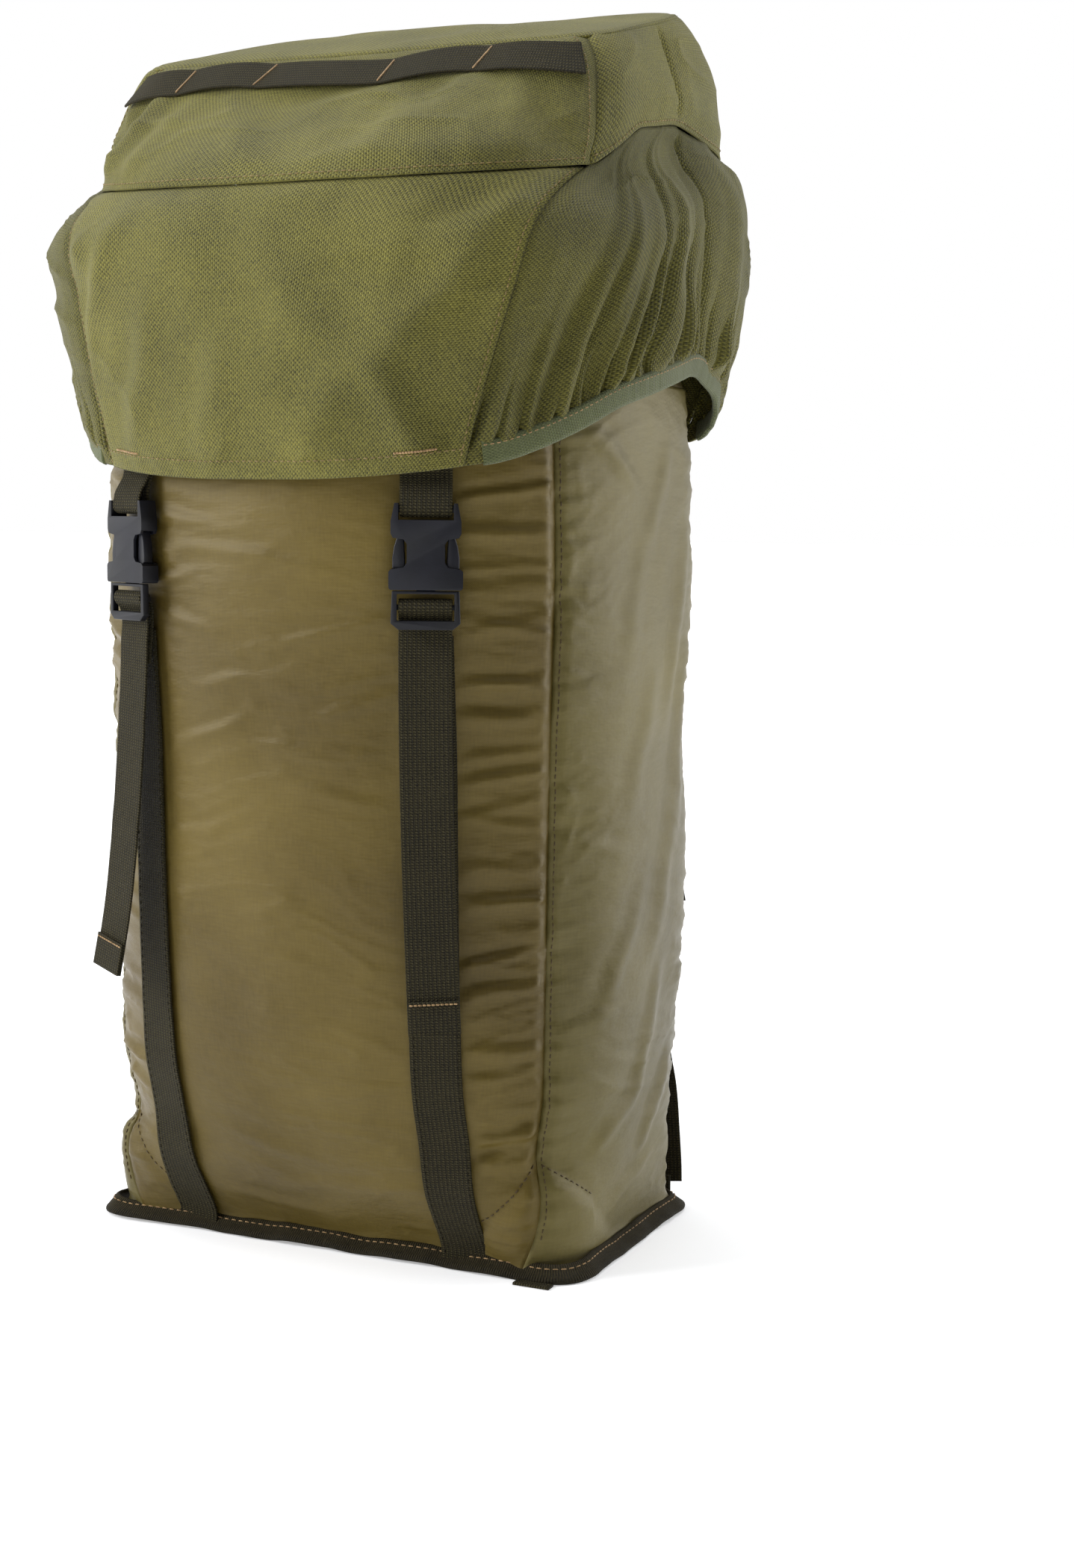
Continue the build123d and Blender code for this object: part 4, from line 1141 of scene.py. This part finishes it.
def make_top():
    """The domed top of the lid, with its seam pulled in at the rim."""
    points, shares = lid_disc(lid_at(turns(320), np.array(TOP_STEP)), 60)
    soft = 1.6 * fbm(points[..., 0] / 60, points[..., 1] / 45, 131, 2) * ease(0, 0.25, 1 - shares)
    points[..., 2] += 5.0 * (1 - shares**2.2) + soft - 1.3 * bell((1 - shares) * 120, 2.6)
    dress(disc("lid_top_cloth", points), "lid", LID, ["lid_top_panel"], LID_CLOTH)


make_top()


# Up and outward round the elastic
ELASTIC_SECTION = np.array([
    (5.6, 0.0), (5.0, 1.3), (3.2, 1.75), (0.0, 1.6), (-3.6, 1.8), (-5.4, 1.4), (-6.2, 0.0),
    (-5.4, -1.4), (-3.0, -1.7), (0, -1.6), (3.2, -1.7), (5.0, -1.2),
])


def edge_elastic(name, panel, side):
    """The folded elastic over a gusset's lower edge."""
    columns = panel.points.shape[1]
    first, last = int(0.03 * columns), int(0.97 * columns)
    picks = np.arange(first, last) if side > 0 else np.arange(columns - last, columns - first)
    low = panel.flat[0, picks]
    high = panel.flat[np.argmin(np.abs(panel.up[:, picks].mean(1) - 9.5)), picks]
    centre = (low + high) / 2 - panel.normal[0, picks] * 0.7
    # Each point becomes the mean of its neighbours, of fewer near the ends
    from_end = np.arange(len(centre))
    reach = np.minimum(np.minimum(from_end, from_end[::-1]), 8)
    centre = np.array([centre[k - r:k + r + 1].mean(0) for k, r in enumerate(reach)])
    across, out = frames(centre, unit(high - low))
    third = columns // 3
    sign = 1 if np.dot(out[third], panel.normal[0, picks[third]]) > 0 else -1
    out = out * sign
    wave = 0.15 * noise(spans(centre) / 3.0, centre[:, 0] * 0, 171)[:, None]
    section = ELASTIC_SECTION[::sign]
    made = tube(f"{name}_edge_elastic", centre + out * wave, across, out, section, section[:, 0])
    dress(made, "lid", ELASTIC, [f"{name}_edge_binding"])
    seam = centre + out * (1.7 + wave) + across * 3.4
    stitches(f"{name}_elastic_stitches", seam, out, "lid", 3.2, 2.2, 0.3)


edge_elastic("right", right_gusset, 1)
edge_elastic("left", left_gusset, -1)

# Shares of the flap's height: its hem's stitches and the bartacks above them
HEM_ROW, TACK_ROW = 9.0 / 140, 10.5 / 140
ALONG = np.linspace(0.01, 0.99, 160)
for name, panel, across, up in (
    ("flap_hem", flap, ALONG, HEM_ROW), ("upper_seam", upper, ALONG, 0.035),
    ("flap_right", flap, 0.985, ALONG), ("flap_left", flap, 0.015, ALONG),
    ("right_upper", right_upper, ALONG, 0.04),
    ("left_upper", left_upper, ALONG, 0.04), ("upper_right", upper, 0.985, ALONG),
    ("upper_left", upper, 0.015, ALONG),
):
    line, normal = panel.place(ALONG * 0 + across, ALONG * 0 + up, 0.15)
    stitches(f"{name}_stitches", line, normal, "lid", material=KHAKI)

for name, side in (("left", -1), ("right", 1)):
    rows, columns = flap.points.shape[:2]
    hem = flap.points[int(round(HEM_ROW * (rows - 1))), :, 0]
    middle = np.argmin(np.abs(hem - side * STRAP_X)) / (columns - 1)
    reach = 12.0 / flap.across[0, -1]
    shares = np.linspace(middle - reach, middle + reach, 30)
    line, normal = flap.place(shares, np.full(30, TACK_ROW), 0.2)
    stitches(f"hem_bartack_{name}", line, normal, "lid", 1.3, 1.5, 0.55, THREAD)


# The daisy chain's step up the lid, its ends and bartacks across, and its rise along the way
DAISY_STEP = 4.62
DAISY_STOPS = (-123, -90, -42, 27, 76, 123)
DAISY_WAVE = np.array([(-123, -3.0), (-68, 3.2), (19, -2.6), (72, 3.2), (123, -3.0)])


def make_daisy():
    """The chain of webbing along the lid's front, raised a little between its bartacks."""
    xs = np.linspace(DAISY_STOPS[0], DAISY_STOPS[-1], 260)
    at = np.full(260, DAISY_STEP)
    angles = np.concatenate([front_angle(lid_at, DAISY_STEP, x) for x in xs])
    line, normals = lid_at(angles, at), outward(lid_at, angles, at, 0.02)
    between = np.zeros_like(xs)
    for low, high in zip(DAISY_STOPS, DAISY_STOPS[1:]):
        inside = (xs >= low) & (xs <= high)
        between[inside] = np.sin(math.pi * (xs[inside] - low) / (high - low))
    ahead = unit(np.gradient(line, axis=0))
    up = np.cross(normals, ahead)
    wave = hermite(DAISY_WAVE[:, 0], DAISY_WAVE[:, 1:], xs)
    line = line + normals * (1.1 + 1.5 * between)[:, None] + up * wave
    across, out = frames(line, up)
    section = band_section(22.0, WEB)
    made = tube("daisy_chain_webbing", line, across, out, section, [x for x, _ in section])
    dress(made, "lid", WEBBING, ["daisy_chain"])
    out = out * (1 if np.dot(out[130], normals[130]) > 0 else -1)
    for number, stop in enumerate(DAISY_STOPS[1:-1]):
        at = np.argmin(np.abs(xs - stop))
        slant = np.linspace(-9, 9, 14)[:, None]
        ends = line[at] + (across[at] + ahead[at] * 0.22) * slant + out[at] * 0.75
        stitches(f"daisy_bartack_{number}", ends, np.repeat(out[at:at + 1], 14, 0), "lid", 1.5, 2.4, 0.5)


make_daisy()


def make_lining():
    """The lid's lining, which slopes down from front_z at front_y by slope."""
    angles = turns(240)
    front_y, front_z, slope = -132, 527, 41 / 240

    def above(step):
        point = lid_at(angles, step)
        return point[..., 2] - front_z + slope * (point[..., 1] - front_y)
    rim = lid_at(angles, solve(above, 0 * angles, TOP_STEP + 0 * angles))
    points, shares = lid_disc(rim, 30, 0.94)
    sag = 2.0 * noise(points[..., 0] / 50, points[..., 1] / 40, 141) - 3.0 * (1 - shares**2)
    points[..., 2] += sag
    dress(disc("lid_lining_cloth", points), "lid", LINING, ["lid_lining"], LINING_CLOTH)


make_lining()


# ---- zip ----------------------------------------------------------------------------
def make_zip_tape():
    low, high = (np.array(corner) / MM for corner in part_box("zip_tape"))
    x, z = np.meshgrid(np.linspace(low[0], high[0], 90), np.linspace(low[2], high[2], 12))
    points = np.stack([x, np.full_like(x, high[1] - 0.15), z], -1)
    made = grid("zip_tape_cloth", points, np.stack([x, z], -1))
    made.data.flip_normals()
    dress(made, "lid", TAPE, ["zip_tape"], TAPE_CLOTH)


def make_zip_coil():
    """Short rods for teeth, by turns from above and from below."""
    low, high = (np.array(corner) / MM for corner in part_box("zip_coil"))
    middle = (low[1] + high[1]) / 2
    pitch, margin, radius = 1.3, 0.8, 0.75
    points, faces = [], []
    for number, x in enumerate(np.arange(low[0] + margin, high[0] - margin, pitch)):
        side = 1 if number % 2 else -1
        index = numbered(8, 2, len(points))
        for turn in turns(8):
            for reach in (-0.5, 1.7):
                y = middle + radius * math.sin(turn)
                points.append((x + 0.5 * math.cos(turn), y, ZIP_Z + side * reach))
        index = np.concatenate([index, index[:1]])
        faces += quads(index[:, ::-1]) + [index[:-1, 0].tolist(), index[:-1, 1][::-1].tolist()]
    dress(piece("zip_coil_teeth", points, faces), "lid", TEETH, ["zip_coil"])


make_zip_tape()
make_zip_coil()
copy_hard("zip_slider", METAL, 0.3, "zip_slider", "zip_slider_body")
copy_hard("zip_pull", PLASTIC, 0.35, "zip_pull", "zip_pull_tab")


# ---- back of the bag ----------------------------------------------------------------
# Each station is a centre and then the direction of the strap's width
STRAP_PATHS = {
    "right": [
        (54, 87, 394, 1, 0, 0), (56, 89, 382, 1, 0, 0), (63, 95, 355, 1, 0, 0), (73, 104, 315, 1, 0, 0),
        (84, 108, 275, 1, 0, 0), (93, 108, 240, 1, 0, 0),
    ],
    "left": [
        (-54, 87, 394, 1, 0, 0), (-58, 89.5, 382, 1, 0, 0), (-76, 99, 352, 1, 0, 0),
        (-104, 108, 318, 1, 0.25, 0), (-135, 106, 288, 0.75, 0.75, 0), (-159, 82, 262, 0.35, 1, 0),
        (-168, 52, 240, 0.05, 1, 0),
    ],
}
LOWER_PATHS = {
    "right": [
        (99, 111.5, 203, 1, -0.15, -0.1), (100, 105, 180, 1, -0.15, -0.1), (102, 97, 150, 1, -0.15, -0.1),
        (105, 92, 118, 1, -0.2, -0.1), (110, 89, 90, 1, -0.2, -0.1), (116, 88, 62, 1, -0.2, 0),
        (119, 85, 36, 1, -0.1, 0.1), (121, 82, 18, 1, 0, 0.1), (122, 80, 10, 1, 0, 0.1),
    ],
    "left": [
        (-171.5, 15, 193, 0.05, 1, 0.3), (-173, 8, 172, 0.05, 1, 0.2), (-171, 6, 140, 0.05, 1, 0),
        (-167, 14, 105, 0.05, 1, -0.3), (-163, 32, 75, 0.1, 1, -0.5), (-158, 55, 50, 0.3, 1, -0.6),
        (-150, 76, 30, 0.7, 0.8, -0.4), (-138, 86.5, 17, 1, 0.2, -0.1), (-130, 84, 10, 1, 0, 0),
    ],
}
HAUL_LOOP = [
    (-22, 83.5, 384, 0, 0, 1), (-22, 88, 384, 0, 0, 1), (-17, 98, 382, 0, 0, 1), (-8, 103, 380, 0, 0, 1),
    (8, 103, 380, 0, 0, 1), (17, 98, 382, 0, 0, 1), (22, 88, 384, 0, 0, 1), (22, 83.5, 384, 0, 0, 1),
]
# Down and outward from a ladder lock's middle: the free end, round a bar, and back behind
LOCK_THREAD = [
    (62, 5.0), (40, 4.2), (20, 3.4), (9, 3.3), (4.5, 3.2),
    (1.6, 2.2), (0.9, 0.0), (1.6, -2.2), (4.5, -3.2), (12, -3.0),
]
# The same for the short webbing that holds the lock to its pad
PAD_THREAD = [
    (-30, 1.2), (-20, 2.2), (-13, 3.0), (-8.6, 2.8), (-6.6, 1.4), (-6.2, 0), (-6.6, -1.4), (-8.6, -2.8),
    (-13, -3.0), (-20, -2.2), (-30, -1.2),
]
PAD_HALF, PAD_CROWN = 25.0, 4.3


def make_shoulder(name):
    """A padded strap with a quilted edge, and its binding along both sides."""
    stations = np.array(STRAP_PATHS[name], float)
    keys = spans(stations[:, :3])
    steps = np.linspace(0, keys[-1], int(keys[-1] / 2.0))
    stations = hermite(keys, stations, steps)
    line = stations[:, :3]
    across, out = frames(line, stations[:, 3:])
    up, aside = np.sin(turns(56)), np.cos(turns(56))
    ends = np.minimum(ease(0, 14, steps), ease(0, 14, steps[-1] - steps))
    crown = PAD_CROWN * np.sign(up) * np.abs(up) ** 0.62 * (0.4 + 0.6 * ends[:, None])
    side = PAD_HALF * np.sign(aside) * np.abs(aside) ** 0.8 + 0 * crown
    quilt = 0.9 * bell(np.abs(side) - PAD_HALF * 0.72, 1.6)
    dents = 0.5 * noise(side / 22, steps[:, None] / 26, 151)
    crown = crown + (dents - quilt) * np.sign(crown)
    points = line[:, None] + across[:, None] * side[..., None] + out[:, None] * crown[..., None]
    uvs = np.stack(np.broadcast_arrays(side, steps[:, None]), -1)
    made = sweep(f"{name}_shoulder_pad", points, uvs)
    dress(made, "bag_body", STRAP, [f"{name}_shoulder_strap"])
    section = [(1.9 * math.cos(turn), 2.3 * math.sin(turn)) for turn in turns(10)]
    for letter, edge in (("a", 0.2 - PAD_HALF), ("b", PAD_HALF - 0.2)):
        rim = line + across * edge
        made = tube(f"{name}_pad_binding_{letter}", rim, across, out, section, np.linspace(0, 13, 10))
        dress(made, "bag_body", BINDING)


def lock_places(name):
    """Makes a station of a ladder lock's distances down and outward from its middle."""
    end, across = np.split(np.array(STRAP_PATHS[name][-1], float), 2)
    down = unit(np.array(LOWER_PATHS[name][0][:3]) - end)
    across = unit(across)
    out = np.cross(across, down)
    centre = end + down * 21.0
    if out.dot(centre * [1, 1, 0]) < 0:
        out = -out
    return lambda below, proud: (*(centre + down * below + out * proud), *across)


for name in ("right", "left"):
    make_shoulder(name)
    at = lock_places(name)
    lower = [at(*stop) for stop in LOCK_THREAD] + LOWER_PATHS[name]
    strip(f"{name}_lower_webbing", lower, [f"{name}_shoulder_webbing"], pitch=1.2)
    strip(f"{name}_pad_webbing", [at(*stop) for stop in PAD_THREAD], pitch=1.0, ripple=0.0)
    copy_hard(
        f"{name}_ladder_lock", PLASTIC, 0.6, "bag_body", f"{name}_ladder_lock_frame"
    )
    low, high = (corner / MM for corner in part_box(f"{name}_strap_anchor"))
    middle = (low + high) / 2
    stations = [(middle.x, middle.y, z, 1, 0, 0) for z in np.linspace(low.z, high.z, 4)]
    strip(
        f"{name}_anchor_webbing", stations, [f"{name}_strap_anchor"],
        width=26.0, thickness=2.4, ripple=0.0,
    )

strip("haul_loop_webbing", HAUL_LOOP, ["haul_loop"], width=18.0, thickness=2.0, pitch=1.2)
low, high = (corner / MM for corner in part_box("base_tab"))
stations = [(x, (low.y + high.y) / 2, 0.8, 0, 1, 0) for x in np.linspace(low.x, high.x, 5)]
strip("base_tab_webbing", stations, ["base_tab"], width=7.0, thickness=1.4, ripple=0.0)


# ---- stage, light and camera --------------------------------------------------------
FLOOR_HALF = 30000


def make_floor():
    made = Maker("studio_floor", 0.85, 0.1)
    point = made.object_point()
    pale = [(0.3, (0.93, 0.94, 0.96, 1)), (0.7, (0.95, 0.96, 0.98, 1))]
    made.colour(made.ramp(made.texture(point, 2.0), pale))
    made.shader.inputs["Emission Color"].default_value = (1.0, 1.0, 1.0, 1.0)
    distance = made.node("ShaderNodeVectorMath", operation="LENGTH")
    made.link(point, distance.inputs[0])
    spread = made.node("ShaderNodeMapRange")
    made.link(distance.outputs["Value"], spread.inputs["Value"])
    for socket, value in (("From Min", 0.9), ("From Max", 3.5), ("To Min", 0.36), ("To Max", 1.0)):
        spread.inputs[socket].default_value = value
    made.link(spread.outputs["Result"], made.shader.inputs["Emission Strength"])
    material = made.done(made.bump(made.texture(point, 300.0), 0.05, 0.1))
    corners = [(FLOOR_HALF * x, FLOOR_HALF * y, 0) for x, y in ((-1, -1), (1, -1), (1, 1), (-1, 1))]
    floor = piece("studio_floor", corners, [[0, 1, 2, 3]])
    floor.data.materials.append(material)
    floor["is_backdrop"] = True


def make_light(name, place, aim, size, power):
    data = bpy.data.lights.new(name, "AREA")
    data.shape = "RECTANGLE"
    data.size, data.size_y = size
    data.energy = power
    light = bpy.data.objects.new(name, data)
    bpy.context.scene.collection.objects.link(light)
    light.location = place
    light.rotation_euler = (Vector(aim) - Vector(place)).to_track_quat("-Z", "Y").to_euler()


def make_camera():
    azimuth, elevation, roll = math.radians(24.21), math.radians(6.59), math.radians(0.64)
    distance, aside, aim_z = 1.24187, 0.07337, 0.23272
    back = Vector((math.sin(azimuth), -math.cos(azimuth), math.tan(elevation))) * math.cos(elevation)
    right = Vector((math.cos(azimuth), math.sin(azimuth), 0))
    up = back.cross(right)
    x_axis = right * math.cos(roll) + up * math.sin(roll)
    y_axis = up * math.cos(roll) - right * math.sin(roll)
    data = bpy.data.cameras.new("camera")
    data.lens, data.sensor_width = 53.62, 36.0
    camera = bpy.data.objects.new("camera", data)
    bpy.context.scene.collection.objects.link(camera)
    turn = Matrix((x_axis, y_axis, back)).transposed()
    place = Vector((0, 0, aim_z)) + right * aside + back * distance
    camera.matrix_world = Matrix.Translation(place) @ turn.to_4x4()
    bpy.context.scene.camera = camera


def make_world():
    """A bright studio behind the bag that falls to a dimmer room in front of it."""
    world = bpy.data.worlds.new("studio")
    world.use_nodes = True
    tree = world.node_tree
    direction = tree.nodes.new("ShaderNodeTexCoord")
    turned = tree.nodes.new("ShaderNodeVectorMath")
    turned.operation = "DOT_PRODUCT"
    turned.inputs[1].default_value = (-0.41, 0.91, 0.0)
    half = tree.nodes.new("ShaderNodeMath")
    half.operation = "MULTIPLY_ADD"
    half.inputs[1].default_value = half.inputs[2].default_value = 0.5
    ramp = tree.nodes.new("ShaderNodeValToRGB")
    for stop, position, colour in zip(
        ramp.color_ramp.elements, (0.42, 0.85), ((0.2, 0.2, 0.21, 1), (1.0, 1.0, 1.0, 1))
    ):
        stop.position, stop.color = position, colour
    seen = tree.nodes.new("ShaderNodeLightPath")
    backdrop = tree.nodes.new("ShaderNodeMix")
    backdrop.data_type = "RGBA"
    backdrop.inputs[7].default_value = (1.0, 1.0, 1.0, 1.0)
    for source, target in (
        (direction.outputs["Generated"], turned.inputs[0]), (turned.outputs["Value"], half.inputs[0]),
        (half.outputs[0], ramp.inputs[0]), (seen.outputs["Is Camera Ray"], backdrop.inputs[0]),
        (ramp.outputs[0], backdrop.inputs[6]), (backdrop.outputs[2], tree.nodes["Background"].inputs[0]),
    ):
        tree.links.new(source, target)
    bpy.context.scene.world = world


make_floor()
make_light("key_left", (-1.7, -1.3, 1.3), (0, 0, 0.35), (0.9, 1.6), 56)
make_light("fill_right", (1.55, 1.15, 0.5), (0, 0, 0.25), (0.6, 1.6), 18)
make_light("top", (0.0, 0.1, 2.2), (0, 0, 0.3), (1.6, 1.6), 20)
make_world()
bpy.context.scene.view_settings.view_transform = "Standard"
make_camera()

low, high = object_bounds()
